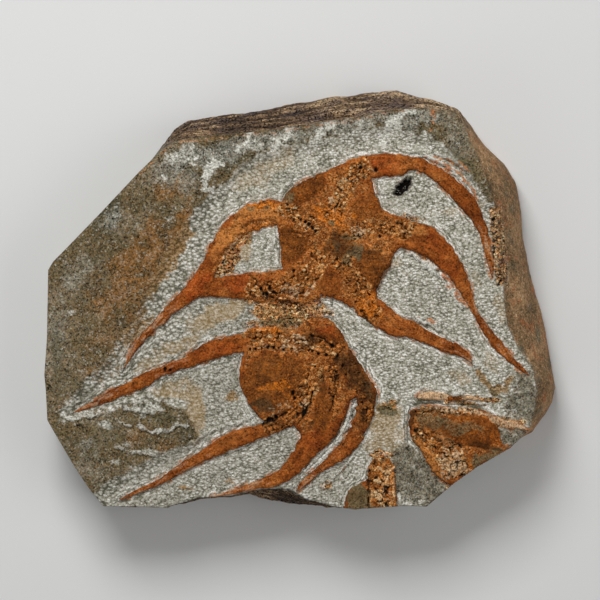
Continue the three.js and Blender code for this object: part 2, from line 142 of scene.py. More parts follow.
# An arm is a line of (x, y, half its width) from the disc to the tip.
# A dome is a smooth swelling of the disc between two arms: (x, y, half length, half width, turn, height,
# colour). A row is a band of plates in files: (points, half width, pitch, file width, order, cream share).
UPPER_STAR = {
    "disc": [
        (-5.5, 19.1), (-5.3, 21.9), (-4.1, 23.9), (-2.3, 25.8), (-0.2, 27), (2.4, 28.1), (5.2, 29.3),
        (8.2, 30.9), (11.4, 32.3), (14.7, 32.8), (16.5, 30), (16.1, 27.2), (17, 24.4), (18.4, 20.9),
        (21.4, 18.8), (23, 15.1), (23.5, 11.9), (21.4, 10), (20.5, 7.2), (18.6, 5.2), (17.4, 1.7),
        (17.7, -1.3), (16.1, -5.8), (13.3, -4.4), (9.8, -1.6), (6.8, -0.2), (3.5, 0.5), (1.4, -0.6),
        (-1.1, -2.5), (-4.1, -2.3), (-6, 0), (-6.2, 3.3), (-5.1, 6.8), (-5.1, 11), (-5.8, 14.4),
        (-6.4, 16.8),
    ],
    "arms": [
        [
            (-0.2, 17.4, 2.8), (-3.9, 19.1, 2.9), (-7.4, 19.7, 3), (-10.9, 18.8, 3.2), (-13.9, 17.3, 3),
            (-16.4, 15.4, 2.8), (-18.7, 12.8, 2.4), (-20.1, 10.3, 2.2), (-21.5, 7.5, 2.1),
            (-23.2, 4.5, 2.3), (-25.9, 1.2, 2.1), (-28.5, -1, 1.7), (-30.8, -3, 1.3), (-33.1, -5.4, 1.2),
            (-35.4, -7.5, 1), (-37.5, -9.9, 0.9), (-39.4, -12.5, 0.7), (-41.5, -16.4, 0.3),
        ],
        [
            (0.5, 2.8, 4.6), (-4.1, 2.4, 4.5), (-8.8, 2.3, 3.7), (-12.2, 2.6, 3.4), (-15, 2.5, 3.1),
            (-17.6, 2.3, 2.8), (-20.1, 2.3, 2.4), (-23.2, 2.1, 2.2),
        ],
        [
            (6.3, 23.5, 4.6), (10, 27.2, 3.9), (13.3, 29.7, 3), (16.1, 30.4, 2.9), (19.3, 30.7, 2.9),
            (22.6, 30.8, 2.6), (24.9, 31.1, 1.9), (27.2, 30.9, 1.7), (29.5, 29.6, 1.7), (32.1, 28, 1.9),
            (34.6, 26, 2), (36.9, 23.6, 2), (38.8, 21.2, 2), (40.4, 18.6, 1.7), (41.6, 16.1, 1.3),
            (42.4, 13.3, 1.1), (43.1, 10.5, 1), (43.7, 7.7, 0.9), (44.1, 4.6, 0.3),
        ],
        [
            (14.4, 16.8, 3.9), (19.1, 16.1, 3.6), (22.6, 15.1, 3.5), (25.3, 14.2, 3.5), (28.4, 13.2, 3.6),
            (31.4, 11, 3.2), (34.2, 7.9, 2.6), (36.2, 4.9, 2.1), (37.9, 1.7, 1.6), (39, -1.1, 1.1),
            (40.2, -3.7, 0.9), (41.6, -6, 1), (43.2, -8.4, 1.2), (45.1, -10.9, 1.3), (46.9, -12.8, 1.2),
            (48.8, -14.8, 0.9), (50.6, -16.4, 0.8), (52.5, -18.1, 0.3),
        ],
        [
            (12.8, 0.3, 3.2), (15.6, -2.5, 3.1), (18.6, -4.6, 2.9), (21.6, -6.7, 2.6), (24.9, -7.6, 2.2),
            (28.4, -9, 1.7), (31.4, -10.4, 1.6), (34.2, -11.6, 1.5), (36.5, -12.7, 1.3), (38.3, -14, 0.9),
            (39.3, -15.3, 0.3),
        ],
    ],
    "domes": [
        (0.7, 25.6, 5.6, 3.2, 30, 0.55, 0.7), (-2.5, 12.6, 3.7, 4.8, 0, 0.5, 0.9),
        (16.3, 6.6, 5.4, 4.6, -35, 0.75, 0.8), (14.9, 20.4, 4.8, 4.2, 20, 0.4, 0.55),
        (6.1, 3.6, 2.6, 4.4, 10, 0.45, 0.45),
    ],
    "rows": [
        ([(4.5, 15.1), (2.1, 16.5), (-0.6, 18.6), (-3.4, 20), (-6.2, 20.2)], 1.7, 0.75, 0.7, 0.1, 0.66),
        (
            [(4.5, 11), (3.1, 7.2), (0.3, 4), (-3, 2.1), (-7.1, 1.4), (-10.9, 2.1), (-13.2, 3.1)], 2.3,
            0.9, 0.85, 0.3, 0.5,
        ),
        (
            [(6.3, 17.4), (8.2, 21.2), (9.3, 24.4), (11, 27.2), (13.3, 29.5), (16.1, 30.9)], 2, 0.7, 0.7,
            0, 0.62,
        ),
        ([(9.8, 13.7), (13.7, 15.6), (17.9, 16.5), (21.6, 16.1), (25.8, 15.1)], 1.9, 0.7, 0.7, 0, 0.5),
        (
            [(8.2, 9.6), (10, 6.8), (12.3, 3.5), (14.2, 0.3), (15.6, -3), (17.4, -5.3)], 2.3, 0.8, 0.8,
            0.15, 0.42,
        ),
    ],
}
LOWER_STAR = {
    "disc": [
        (-13.9, -12.7), (-15, -17.4), (-14.3, -21.1), (-12.9, -24.3), (-11.3, -27.3), (-9.5, -29),
        (-5.8, -28.5), (-2.5, -29.4), (-0.4, -32.4), (3.5, -32.2), (7.2, -30.3), (9.8, -27.1),
        (11.2, -24.3), (12.6, -23.6), (15.1, -25.7), (17.2, -25), (17.4, -22.9), (16.1, -19.9),
        (14.7, -17.1), (12.8, -14.1), (11, -12.2), (10.5, -10.6), (9.3, -8.3), (7.5, -6.2), (5.4, -4.6),
        (2.8, -4.4), (0.3, -5.5), (-1.3, -7.1), (-4.6, -6.7), (-8.8, -6.8), (-11.8, -7.4), (-13.6, -9),
    ],
    "arms": [
        [
            (5.2, -11.1, 2.1), (1.2, -10.6, 2.8), (-3, -10.2, 3.1), (-7.6, -9.7, 3), (-11.1, -9.9, 2.9),
            (-13.9, -10.6, 2.3), (-16.9, -11.2, 2.3), (-20.4, -12.1, 2.2), (-23.8, -13.5, 2),
            (-27.3, -15.1, 1.5), (-30.8, -16.5, 1.3), (-33.6, -17.6, 1.3), (-35.7, -18.7, 1.7),
            (-37.8, -19.8, 1.7), (-40.1, -20.9, 1.4), (-42.4, -21.9, 1.4), (-44.7, -23, 1.3),
            (-47, -24.2, 1), (-49.4, -25.2, 0.8), (-53.3, -26.8, 0.3),
        ],
        [
            (1.2, -23.8, 2.6), (-1.1, -26.4, 2.7), (-4.1, -28.4, 2.3), (-7.6, -30.1, 2),
            (-10.9, -31.6, 1.8), (-13.9, -32.4, 2.1), (-16.9, -33.5, 2.2), (-19.9, -35, 1.8),
            (-22.5, -36.5, 1.5), (-25, -37.8, 1.3), (-27.6, -39.4, 1.3), (-30.1, -41, 1.1),
            (-33.1, -42.8, 0.9), (-36.1, -44.2, 0.7), (-39.2, -45.5, 0.6), (-42.4, -47.1, 0.3),
        ],
        [
            (6.3, -23.8, 4.6), (5.4, -27.3, 4.4), (4, -30.8, 3.9), (2.1, -33.6, 3.1), (0, -36.5, 2.4),
            (-2.3, -39.4, 2.2), (-5.1, -41.7, 1.9), (-8.5, -43.1, 1.3), (-12.5, -44.1, 0.9),
            (-16, -45.2, 0.7), (-21.1, -46.4, 0.3),
        ],
        [
            (14.7, -22, 2.8), (14.7, -25.2, 2.4), (14, -28, 2.2), (13, -30.8, 2), (11.4, -33.5, 1.9),
            (9.1, -35.9, 1.9), (6.5, -38.1, 1.5), (4, -40, 1.1), (1.7, -41.9, 1), (-0.4, -43.9, 0.8),
            (-1.3, -45, 0.3),
        ],
    ],
    "domes": [
        (-6.6, -19.6, 8.2, 7.4, 10, 0.85, 0.75), (5.9, -7.6, 4.4, 2.9, -38, 0.7, 0.3),
        (13.2, -16.9, 3.4, 5.6, 20, 0.5, 0.9), (4.5, -26.2, 2.2, 6.5, -8, 0.4, 0.7),
    ],
    "rows": [
        (
            [(8.6, -12.6), (3.5, -11.2), (-0.6, -10.6), (-5.3, -10.2), (-9.5, -9.9), (-12.6, -9.9)], 1.8,
            1.35, 1, 0.7, 0.5,
        ),
        ([(-14.6, -8.8), (-11.6, -7.6), (-8.6, -7), (-6.2, -7.1), (-4.2, -7.9)], 1.1, 1.35, 2.2, 1, 0.5),
        (
            [(3.5, -15.4), (2.2, -19.4), (-0.2, -23.6), (-2.5, -26.4), (-5.8, -28.8), (-9.5, -30.1)], 2.2,
            1.2, 1.05, 0.55, 0.42,
        ),
        ([(7, -15), (7.2, -18.7), (7.4, -22.5), (7.2, -25.6)], 1.2, 0.75, 0.7, 0.2, 0.34),
        (
            [(9.1, -13.6), (11.9, -18.3), (14.2, -22.5), (15.2, -25.7), (14.1, -29.4)], 1.5, 0.75, 0.7,
            0.1, 0.1,
        ),
    ],
}
CORNER_STAR = {
    "disc": [
        (24.6, -28.7), (25.1, -26.4), (27.4, -25.5), (30.4, -25.2), (33.5, -25.7), (36.5, -25.5),
        (39.3, -25.5), (41.6, -26.2), (43.7, -27.6), (45.1, -29.6), (45.8, -31.7), (46.6, -34),
        (48.6, -34.9), (46.5, -37.2), (41.1, -40.3), (36.9, -43.3), (34.6, -44.7), (33.5, -43.3),
        (31.8, -42.2), (30, -40.6), (28.4, -38.2), (27.2, -35.4), (25.3, -33.4), (24.6, -31),
    ],
    "arms": [
        [
            (33.2, -26.6, 0.9), (36, -26.4, 0.9), (38.8, -26.4, 0.9), (41.3, -26.9, 0.9),
            (43.7, -27.8, 0.9), (46, -29, 1.1), (48.3, -29.6, 1.2), (50.6, -30.2, 0.9),
            (52.9, -30.9, 0.4),
        ],
    ],
    "domes": [
        (38.2, -30.4, 8.6, 4, -12, 0.7, 0.6), (29.2, -37.6, 6.4, 2.7, -61, 0.35, 0.25),
        (43.2, -37.2, 5.6, 1.7, 24, 0.4, 0.5),
    ],
    "rows": [
        (
            [(25.4, -27.2), (28.6, -26.3), (31.8, -26.5), (36, -26.6), (40.6, -26.6)], 1, 0.75, 0.7, 0.1,
            0.8,
        ),
        ([(25.2, -31.8), (27.6, -32.6), (30.4, -34.2), (32.4, -36)], 1.6, 0.8, 0.8, 0.2, 0.66),
        ([(33.2, -34.8), (34.2, -37), (35.2, -39.4), (35.8, -42)], 3.3, 1.2, 1.2, 0.35, 0.85),
    ],
}
EDGE_ARM = {
    "disc": [
        (9.6, -47), (10.5, -45), (12.6, -43.3), (14.9, -41.9), (15.1, -39.6), (16.3, -37.5),
        (18.1, -36.6), (20.2, -37.1), (21.6, -39.4), (21.6, -42.4), (22.1, -45.7), (21.9, -52),
        (9.6, -52),
    ],
    "arms": [],
    "domes": [(12.6, -46.4, 2.4, 3.6, 0, 0.3, 0.5)],
    "rows": [
        (
            [(18.4, -37), (18.4, -40.1), (18.5, -42.9), (18.6, -45.7), (18.6, -50)], 3.1, 1.3, 1.4, 0.35,
            0.74,
        ),
    ],
}
LOOSE_RAYS = {
    "disc": None,
    "arms": [
        [
            (26.8, -23.2, 0.6), (29.4, -22.8, 1.15), (32, -23, 1), (35.3, -23.5, 0.7), (38.3, -23.3, 0.8),
            (41.4, -23.9, 0.4),
        ],
    ],
    "domes": [],
    "rows": [],
}
STARS = {
    "upper_star": UPPER_STAR,
    "lower_star": LOWER_STAR,
    "corner_star": CORNER_STAR,
    "edge_arm": EDGE_ARM,
    "loose_rays": LOOSE_RAYS,
}

# ---- marks: (x, y, half length, half width, turn, strength) --------------------------------------

# On the animals.
SPOTS = {
    "rough": [
        (7.5, 18.4, 6.4, 5, 0, 1), (-10.4, 21.3, 5.8, 1.4, -3, 1), (-15.6, 18.4, 2.6, 0.9, 42, 0.8),
        (-17.6, 9.8, 4.4, 0.9, 57, 1), (-3.4, -0.6, 8.6, 2.6, -4, 1), (-10.6, 15.6, 4.2, 1.5, 28, 1),
        (-16.2, 9.8, 1.5, 4.2, -12, 0.8), (2.1, 16.3, 3, 2.4, 0, 1), (12.9, 15.5, 3, 2.2, 0, 0.9),
        (-6, -0.2, 5, 2.6, -12, 1), (14.9, -2.6, 2.4, 4.6, 35, 0.9), (20.4, 14.5, 4, 1.2, -10, 0.7),
        (-2.5, -10.2, 4.4, 3, -10, 1), (4.2, -4.6, 3.4, 1.2, -20, 0.7), (13.8, -29.8, 1.8, 7, 22, 0.7),
        (9.3, -12, 2.6, 2.2, 0, 0.8), (0.2, -25, 2.4, 3.4, -20, 0.9), (34.4, -37.4, 1.6, 4.4, 35, 0.8),
        (36, -26.1, 10, 0.9, -8, 0.9), (44.6, -28.5, 7, 0.9, -24, 0.9), (18.6, -43, 2.6, 7, 0, 1),
        (36, -23.2, 8, 0.9, -4, 1),
    ],
    "tan": [
        (-10.5, 19, 5.6, 2.2, -5, 0.9), (-16.6, 14.6, 4.6, 2.2, 48, 0.9), (-20, 9.5, 2.6, 1.4, 65, 0.5),
        (9.3, 24.6, 3.6, 2.6, 50, 0.3), (24, 15.4, 3.8, 1.6, -12, 0.9), (29.2, -37.6, 2.2, 6, 29, 1),
    ],
    "bright": [
        (6.4, 19.6, 4.6, 2.6, -10, 0.8), (-10.4, 21.5, 5, 0.9, -3, 0.9), (-10.2, 15.8, 3.4, 0.8, 28, 0.7),
        (7.1, 11.9, 0.8, 0.8, 0, 1), (12, 19, 0.8, 0.7, 0, 0.9), (9.4, 16.6, 1.6, 2, 0, 0.6),
        (12.2, 12.6, 2, 0.7, -20, 0.7), (15.2, -2, 2.4, 3.6, 35, 0.7), (-8.4, -7.6, 4, 1, 0, 0.8),
        (-6.7, -20.5, 4.2, 1.3, 8, 0.75), (-7.4, -16.4, 2.4, 1.6, 0, 0.35),
        (-2.6, -22.6, 1.6, 2.2, 0, 0.5), (42.3, -32.2, 3.8, 1.2, -12, 0.35),
        (39, -38.7, 0.7, 1.4, 0, 0.9), (20.8, -42, 0.9, 4.6, 0, 0.6), (2, 30.4, 3.4, 0.5, 22, 0.5),
        (7, 31.6, 3, 0.6, 18, 0.5), (35.4, -24.2, 3.4, 0.5, -6, 0.8), (17.8, -3.6, 1.4, 1.2, 0, 0.5),
        (37, -28.2, 5, 0.7, -14, 0.3),
    ],
    "pale": [
        (11, 27.2, 1.6, 0.9, 20, 0.8), (12.9, 15.4, 1.5, 1.2, 0, 0.9), (6.8, 22.9, 0.9, 1.3, 0, 0.7),
        (-2.6, 1.7, 2.6, 2.2, 0, 0.7), (1.6, 1.7, 2, 0.5, 52, 1), (-2.5, -10.2, 3.6, 2, -10, 0.7),
        (-1.3, -9, 0.7, 0.8, 0, 1), (0.3, -24.4, 0.9, 0.8, 0, 1), (34.8, -38.9, 3.2, 4.4, -10, 1),
        (-16.8, 10.6, 3.6, 0.7, 57, 0.8), (47.8, -29.5, 5, 1.1, -18, 1), (37, -26.1, 6.8, 0.9, -8, 1),
        (30.6, -22.3, 5.4, 2.4, 0, 1.6), (40, -22.9, 3, 1.6, 0, 1.3), (19.4, -45, 1.2, 3.4, 0, 0.4),
        (22.6, 15.6, 1.8, 0.5, -10, 0.6), (-9, -11.4, 4, 0.7, 0, 0.35), (-5.6, -25.6, 3.4, 1.2, 25, 0.4),
    ],
    "green": [
        (6.7, 17.4, 0.8, 0.8, 0, 1), (7.9, 12, 1, 1.2, 0, 0.8), (12.4, 11.6, 2.4, 1.8, 20, 0.95),
        (10, 8.6, 1.3, 1.8, -20, 0.7), (10.9, 13.9, 2.6, 0.6, 0, 0.7), (-3.4, 23, 1.3, 1.7, 0, 0.7),
        (9.8, 8.6, 1.2, 0.9, -30, 0.6), (-3.4, -7.4, 3, 0.9, 0, 0.5), (29.6, -28.6, 4.6, 2.2, -14, 0.75),
        (43.4, -37, 5.4, 1.8, 28, 0.75), (36.4, -30, 6.4, 2, -16, 0.6), (33, -33.4, 3.4, 1.4, -24, 0.5),
        (-15.8, 7.4, 1, 1.4, 0, 0.7), (14.8, -20.6, 1.6, 2.6, 0, 0.6), (17.4, -26, 1, 2, 30, 0.6),
        (-9.4, -25.6, 3.2, 1.8, -25, 0.6), (12.6, -46, 3.4, 4.8, 0, 1), (33.8, -28.6, 4, 1, -10, 0.5),
        (-12.2, 20.9, 1, 0.7, 0, 0.9), (-8.6, 20.8, 1.4, 0.5, 0, 0.7),
    ],
    "dark": [
        # (15.7, 10.6) is painted shade in the groove along the top edge of the upper star's lower right dome.
        (15.7, 10.6, 2.6, 0.7, 0, 0.8), (-9.1, -5.9, 2.2, 0.45, 0, 0.8), (-9, -25.5, 3.5, 2.2, -25, 0.8),
        (14.9, -22, 2.2, 2.4, 0, 0.8), (13.4, -27, 1.4, 4.4, 15, 0.6), (29.4, -29.6, 2.8, 1, -15, 0.6),
        (36.4, -23.3, 1.9, 0.8, 0, 1), (8.8, 12.6, 2.8, 3.8, -20, 0.85), (11.9, -17.8, 5.6, 2.4, -54, 1),
        (1.7, -10.4, 2.6, 1.8, 0, 0.9), (12.8, 12, 2.4, 1.8, 0, 0.5), (4.6, -19.8, 1.4, 3.6, 0, 0.65),
        (-6.8, -29.3, 2.8, 1.2, 0, 0.7), (-8.8, -16.3, 4, 3.4, 0, 0.45),
        (30.4, -30.4, 4.6, 1.2, -12, 0.55), (40.6, -34, 3.4, 0.6, -14, 0.5), (12, -45.8, 3, 2.6, 0, 0.6),
        # (-3.6, 24.6) is painted shadow in the deep notch at the upper left of the upper star's disc.
        (18.4, 6.4, 3, 3, 0, 0.35), (2.6, -8.6, 1.2, 1.6, 0, 0.5), (-3.6, 24.6, 1.6, 2, 0, 0.5),
        (26.4, 13.4, 2.4, 1, -20, 0.4), (1, -29.6, 1.8, 1.2, -30, 0.5), (33, 27, 3, 0.8, -50, 0.3),
        (-12.8, -14.6, 0.8, 3, 0, 0.4), (9.6, -32, 2, 3, 30, 0.3), (42.2, -34.8, 4.6, 0.6, -8, 1),
        (-16.3, -32.8, 3.6, 1.4, 22, 0.45), (24.8, -28.2, 0.9, 2.4, 0, 0.9),
        (28.4, -26, 4.4, 0.6, 8, 0.8), (12.4, -44, 1.6, 2, 0, 0.3),
    ],
    "red": [
        (-5.9, -2, 3, 1.2, -12, 0.7), (-25, 2.4, 5, 2, 42, 0.7), (-14, 3, 6, 2.4, 0, 0.7),
        (4.6, -6.6, 3, 1.6, -35, 0.7), (18, 31, 5, 2, 0, 0.6), (33, 8, 2, 6, 30, 0.35),
        (30, 13, 4, 2.6, -30, 0.4), (-20, -12.6, 6, 1.8, 12, 0.5), (-17, -34, 5, 1.4, 20, 0.15),
        (-30, -16.4, 5, 1.2, 18, 0.3), (2.6, -33, 2.6, 3, -30, 0.4),
    ],
}

# On the block's face.
RUST = [
    (-36.6, 8, 12, 6.4, 62, 0.8), (-28.4, 14.4, 2.4, 7.4, -18, 1), (-31, 25.6, 5, 3.6, 10, 0.6),
    (-42, -3, 7, 9, 40, 0.6), (-47, -14, 5, 7, 20, 0.35), (30.2, 41.4, 0.45, 2, 0, 0.9),
    (42.4, -19.4, 3.2, 0.8, -48, 0.9), (45.6, -21.4, 2.2, 1.4, 10, 0.8), (47.8, -19.8, 1.8, 0.9, 50, 0.7),
    (-16.8, -22.6, 1.8, 1.4, 0, 0.6), (-36.2, -31.6, 3.6, 1.6, 0, 0.4), (-32, -34, 2.4, 1.6, 0, 0.5),
    (-39, -33.6, 1.3, 1, 0, 0.7), (18.4, -25.2, 1.6, 0.9, 0, 0.7), (-27.6, -44.4, 2, 0.7, 10, 0.6),
    (-16, -43, 2, 0.8, 0, 0.5), (-30.4, -11.6, 2.6, 0.8, -20, 0.35), (-27.4, -20.4, 1.6, 0.8, 30, 0.35),
    (25, 31.6, 5, 1, -25, 0.4),
]
STAIN = [
    (-19.5, -3.6, 7, 2.8, 22, 1), (-28.4, -11, 6.4, 1.8, 26, 0.75), (-14.4, 10.8, 2.2, 2.6, 0, 0.8),
    (-36, -15.4, 4, 1.6, 26, 0.6), (-21, -12, 4, 1.2, 15, 0.5), (-3.4, -4.2, 7.6, 2.4, 0, 0.8),
    (-25, -27.4, 1.9, 7.4, 6, 1), (-29.4, -22.4, 4.6, 1.5, -8, 0.9), (-30.4, -20.8, 5, 1.4, 20, 0.7),
    (-9, 29.5, 9, 2.6, 28, 0.55), (-31.6, 9, 1.2, 9, -25, 0.35), (41, 21, 1.6, 1.2, 40, 0.6),
    (34.6, 20, 2.4, 1.2, 30, 0.5), (19, -33.8, 4.2, 3.2, 20, 0.8), (19.8, -29.6, 3.8, 4.4, 30, 0.95),
    (37, -18.6, 3, 1.6, -35, 0.6), (46, -2.6, 1.4, 3.4, 10, 0.6), (21, 8.4, 2, 1.6, 30, 0.7),
    (43.6, -15.4, 1.8, 2.6, 20, 0.5), (40.2, 4.4, 1, 2.2, 10, 0.5), (-12, -43.6, 4, 1, 5, 0.4),
    (9.2, -30.4, 1.2, 3, 20, 0.8), (2, -3.4, 3.6, 1.6, -10, 0.4), (45, 10, 0.8, 4, -5, 0.4),
]
CRUSHED = [
    (-30.6, 32.4, 2.6, 1.8, 20, 0.55), (-25.6, 32.6, 1.8, 1.2, 0, 0.6), (-32, 27.6, 1, 1.4, 0, 0.7),
    (-27, 35, 2, 1.2, 10, 0.45), (-36.4, -25.8, 3.6, 1.8, -12, 0.6), (9, 38.4, 2, 2, 0, 0.4),
    (14, 39.4, 2.6, 1.6, 0, 0.5), (-47, 20, 1.4, 1.4, 0, 0.3), (-38, 37, 1, 1, 0, 0.3),
    (13, 38.6, 3, 1, 0, 0.4), (-9.6, 34.6, 2.6, 1.2, 20, 0.4), (-33.8, -36.2, 4, 0.7, -10, 0.6),
    (-40, -33.8, 2.6, 0.7, 0, 0.5), (-45.8, -29.6, 1.6, 0.9, -20, 0.7), (-50, -33.6, 2, 0.9, 0, 0.35),
    (-43, -38.4, 1.8, 0.8, 0, 0.5), (48.6, -26.2, 2, 1.2, 0, 0.4), (22.2, -32.4, 1.1, 2, 0, 0.6),
    (-31.4, 18.2, 1.2, 0.7, 0, 0.6), (-31.8, 12.6, 0.4, 2.2, 5, 0.6), (-30, 20.4, 0.8, 0.5, 30, 0.5),
    (-53.8, -4, 0.8, 0.8, 0, 0.6), (10, -46, 2, 1, 0, 0.5),
]
SMOOTH = [
    (24.8, -42, 4.4, 7.6, 12, 1), (30, -43.4, 3.2, 4.6, 30, 1), (31, -46, 5, 3.4, 0, 0.9),
    (51.4, -24, 3.6, 6.6, 0, 1), (49.2, -33, 3.6, 2.8, 0, 1), (35.8, 37.2, 2.4, 4.4, 20, 0.7),
    (33.4, 41, 3, 2.4, 0, 0.6),
]
COOL = [
    (-28.6, 31.6, 4.2, 2.6, 30, 0.9), (-31.4, 28.8, 4.2, 3, 40, 0.6), (-44.6, 18.4, 3.4, 2.2, 45, 0.7),
    (-24, 34, 7, 2, 5, 0.7), (-52, 6.4, 5, 3, 40, 0.35), (-56.6, -8, 1.8, 8, 0, 0.4),
    (0, 38.6, 12, 1.4, 8, 0.5), (35, 35.6, 2.6, 3, 0, 0.4), (-49, -38, 4, 5, 20, 0.3),
    (22, -45.6, 8, 3, 0, 0.3), (-20, 33.6, 9, 3, 14, 0.9), (-8, 36.8, 9, 2.2, 8, 0.8),
    (10, 39.8, 11, 2, 5, 0.8), (25, 41.4, 9, 2, 0, 0.8), (-25.4, 26.4, 3, 3, 0, 0.5),
]
# Dark olive grey on the floor. Along the gap between the loose rays and the corner star, from (28.6, -24.4)
# to (38.6, -25), it is partly painted shadow.
OLIVE_AND_SHADOW = [
    (19.6, -26.4, 2.2, 1.3, -10, 1), (-32.4, -28.2, 3.4, 1.7, 0, 0.6), (21.6, -24.6, 1.2, 0.5, 30, 0.5),
    (28.6, -24.4, 3.6, 0.9, 5, 0.75), (38.6, -25, 5, 0.7, -12, 0.6), (-5.4, -6, 5.4, 0.9, -3, 0.65),
    (-57, -14, 1.4, 10, 5, 0.5), (-45, -33, 5, 4, 0, 0.4), (-37, 0, 5, 3, 40, 0.3),
    (38.6, 30.4, 2.8, 1, -45, 0.7), (39.8, 27.8, 1.2, 1.6, -30, 0.5), (-51, -22, 2, 5, 30, 0.4),
    (31.4, 37.8, 2, 1, -20, 0.3), (35.6, 31.2, 5.4, 1.7, -42, 0.5), (31.8, 1.2, 3.6, 1, -48, 0.4),
    (26, -6.2, 5, 0.8, -14, 0.4), (44.6, -22.4, 3, 0.7, -20, 0.6),
]

# Broken bits of animal left on the floor.
DEBRIS = [
    (-2.4, -4.3, 9.2, 2.4, -3, 1), (-5.4, -6.3, 7.4, 1.3, 0, 1), (1.6, -4.6, 3, 1.2, 30, 0.9),
    (3.6, -2.4, 2.6, 1.6, -30, 0.9), (-4.6, -1, 9.4, 2.1, -4, 1), (-12.4, -6.2, 3, 0.7, 20, 0.6),
    (-17.1, 8.9, 5.2, 1.9, 56, 1), (-13.4, 13.8, 2.8, 1.4, 42, 1), (-11.4, 16.4, 3, 0.9, 22, 1),
    (-7.6, 17, 1.8, 0.8, -10, 0.9), (17.4, -5.6, 1.4, 1.2, 0, 0.6), (20, -25.2, 2.4, 1.2, -10, 0.8),
    (5.6, -43.6, 1.6, 1, 40, 0.7), (9.4, -34.6, 1.2, 3.4, -40, 0.45), (36.6, -24.6, 6, 0.6, -6, 0.6),
    (43.4, -23.8, 3, 0.6, -6, 0.9), (47.6, -29, 4, 1.6, -20, 0.7), (33.2, 25.6, 0.4, 3, 30, 0.3),
    (25.6, 18.4, 3, 0.9, -20, 0.6), (28.4, 8.6, 2.6, 0.7, -35, 0.6), (18.4, -36.6, 2.6, 1.6, 0, 0.8),
    (34.6, -44.2, 1.6, 0.9, 30, 0.7), (19.2, 9, 1.6, 1.4, 0, 0.5),
]

# ---- thin lines: (points, half width, strength) --------------------------------------------------

# Open cracks in the animals.
CRACKS = [
    ([(-9.6, 1.2), (-8.2, -0.3), (-6.4, -1), (-4.2, -1.7)], 0.2, 0.7),
    ([(2.1, -22), (2, -23.6), (1.8, -24.7), (0.9, -25.9), (0.3, -27.2), (-1, -29.5)], 0.24, 1),
    ([(2.4, -8.7), (4.2, -9.5), (6, -10.8), (7, -11.2)], 0.24, 1),
    ([(1.3, -4.6), (1.2, -6), (2, -7.4)], 0.22, 0.7),
    ([(-7.2, 0), (-5.2, -0.9), (-3, -1.4), (-0.6, -1.8)], 0.3, 0.8),
    ([(7.7, -17.4), (7.7, -19.6), (7.4, -22.2), (6.9, -24.6), (6.5, -26.2)], 0.2, 0.8),
    ([(9.6, -11.5), (8.2, -13.4), (7.6, -15.4)], 0.25, 0.6),
    ([(15.4, -40.6), (15.2, -43.4), (15.4, -46), (15.2, -48.4)], 0.22, 0.8),
    ([(24.9, -30.8), (27, -31.8), (28.6, -33.2)], 0.25, 0.7),
    ([(8.4, 14.2), (10.6, 14.1), (13, 14.2)], 0.2, 0.6),
    ([(13.6, -3.2), (14.6, -4.8), (15.4, -6.2)], 0.3, 0.8),
    ([(26.5, -27.2), (30, -26.8), (34, -27), (38.4, -27.2)], 0.18, 0.6),
    ([(-11, -29.8), (-8.6, -28.8), (-6.2, -28.2), (-4.2, -26.8)], 0.24, 0.8),
    ([(-4.8, 14.9), (-3, 15.2), (-1.2, 14.6), (0.9, 14.4)], 0.2, 0.5),
]

# Streaks of crushed stone on the uncut face.
STREAKS = [
    ([(-22.8, 25), (-22.4, 28), (-20.9, 30.2), (-19.6, 31)], 1.25, 0.95),
    ([(-14.8, 34.2), (-13.4, 35.6), (-12.2, 37.2)], 0.85, 0.8),
    ([(-6.6, 34), (-4.8, 36), (-2.9, 38.8)], 0.95, 0.9), ([(-4.4, 36.6), (-6.8, 37)], 0.6, 0.7),
    ([(3, 36.4), (4.8, 38.4), (6.6, 40.8)], 1.1, 0.9), ([(18, 35.6), (19.8, 38.6), (22.6, 42.2)], 1.1, 1),
    ([(23.2, 42.4), (25.8, 43.6)], 1, 0.9), ([(-27.4, 33.2), (-25.8, 31.4)], 0.9, 0.6),
    ([(12.4, 38.8), (14.2, 40.8)], 0.7, 0.6),
]

# Flakes of animal broken from its edges.
FLAKES = [
    ([(32, 6.6), (33.4, 4.4), (35.2, 2), (37, -0.2)], 0.9, 0.9), ([(27.4, -4.4), (30.4, -5.6)], 0.5, 0.8),
    ([(28.4, 32.4), (33, 30.9), (36.4, 28.4), (39, 25.6), (40.7, 22.6)], 0.4, 1),
    ([(30.4, 43.4), (30.3, 41), (29.8, 39.2)], 0.4, 1),
    ([(20.6, -3.4), (24, -5.6), (27, -6.6)], 0.3, 0.8),
    ([(30.6, 32.8), (35, 31.2), (37.6, 29)], 0.3, 0.8), ([(36, 31.4), (38.4, 29.2)], 0.3, 0.8),
    ([(-10, -2.4), (-6.4, -3), (-2.4, -3.4)], 0.3, 0.7), ([(7.4, -42.2), (10.6, -38.6)], 0.3, 0.6),
    ([(-46, -23), (-42, -20.8)], 0.25, 0.6), ([(-22, -33.4), (-17, -31.2), (-13.4, -29.8)], 0.25, 0.6),
    ([(-57, -25.8), (-54, -24.6)], 0.25, 0.6), ([(-21, 4.6), (-23.8, 2)], 0.25, 0.5),
    ([(-18.6, 5.8), (-16.2, 9.4), (-13.8, 13), (-10.6, 15.2)], 0.35, 0.8),
]

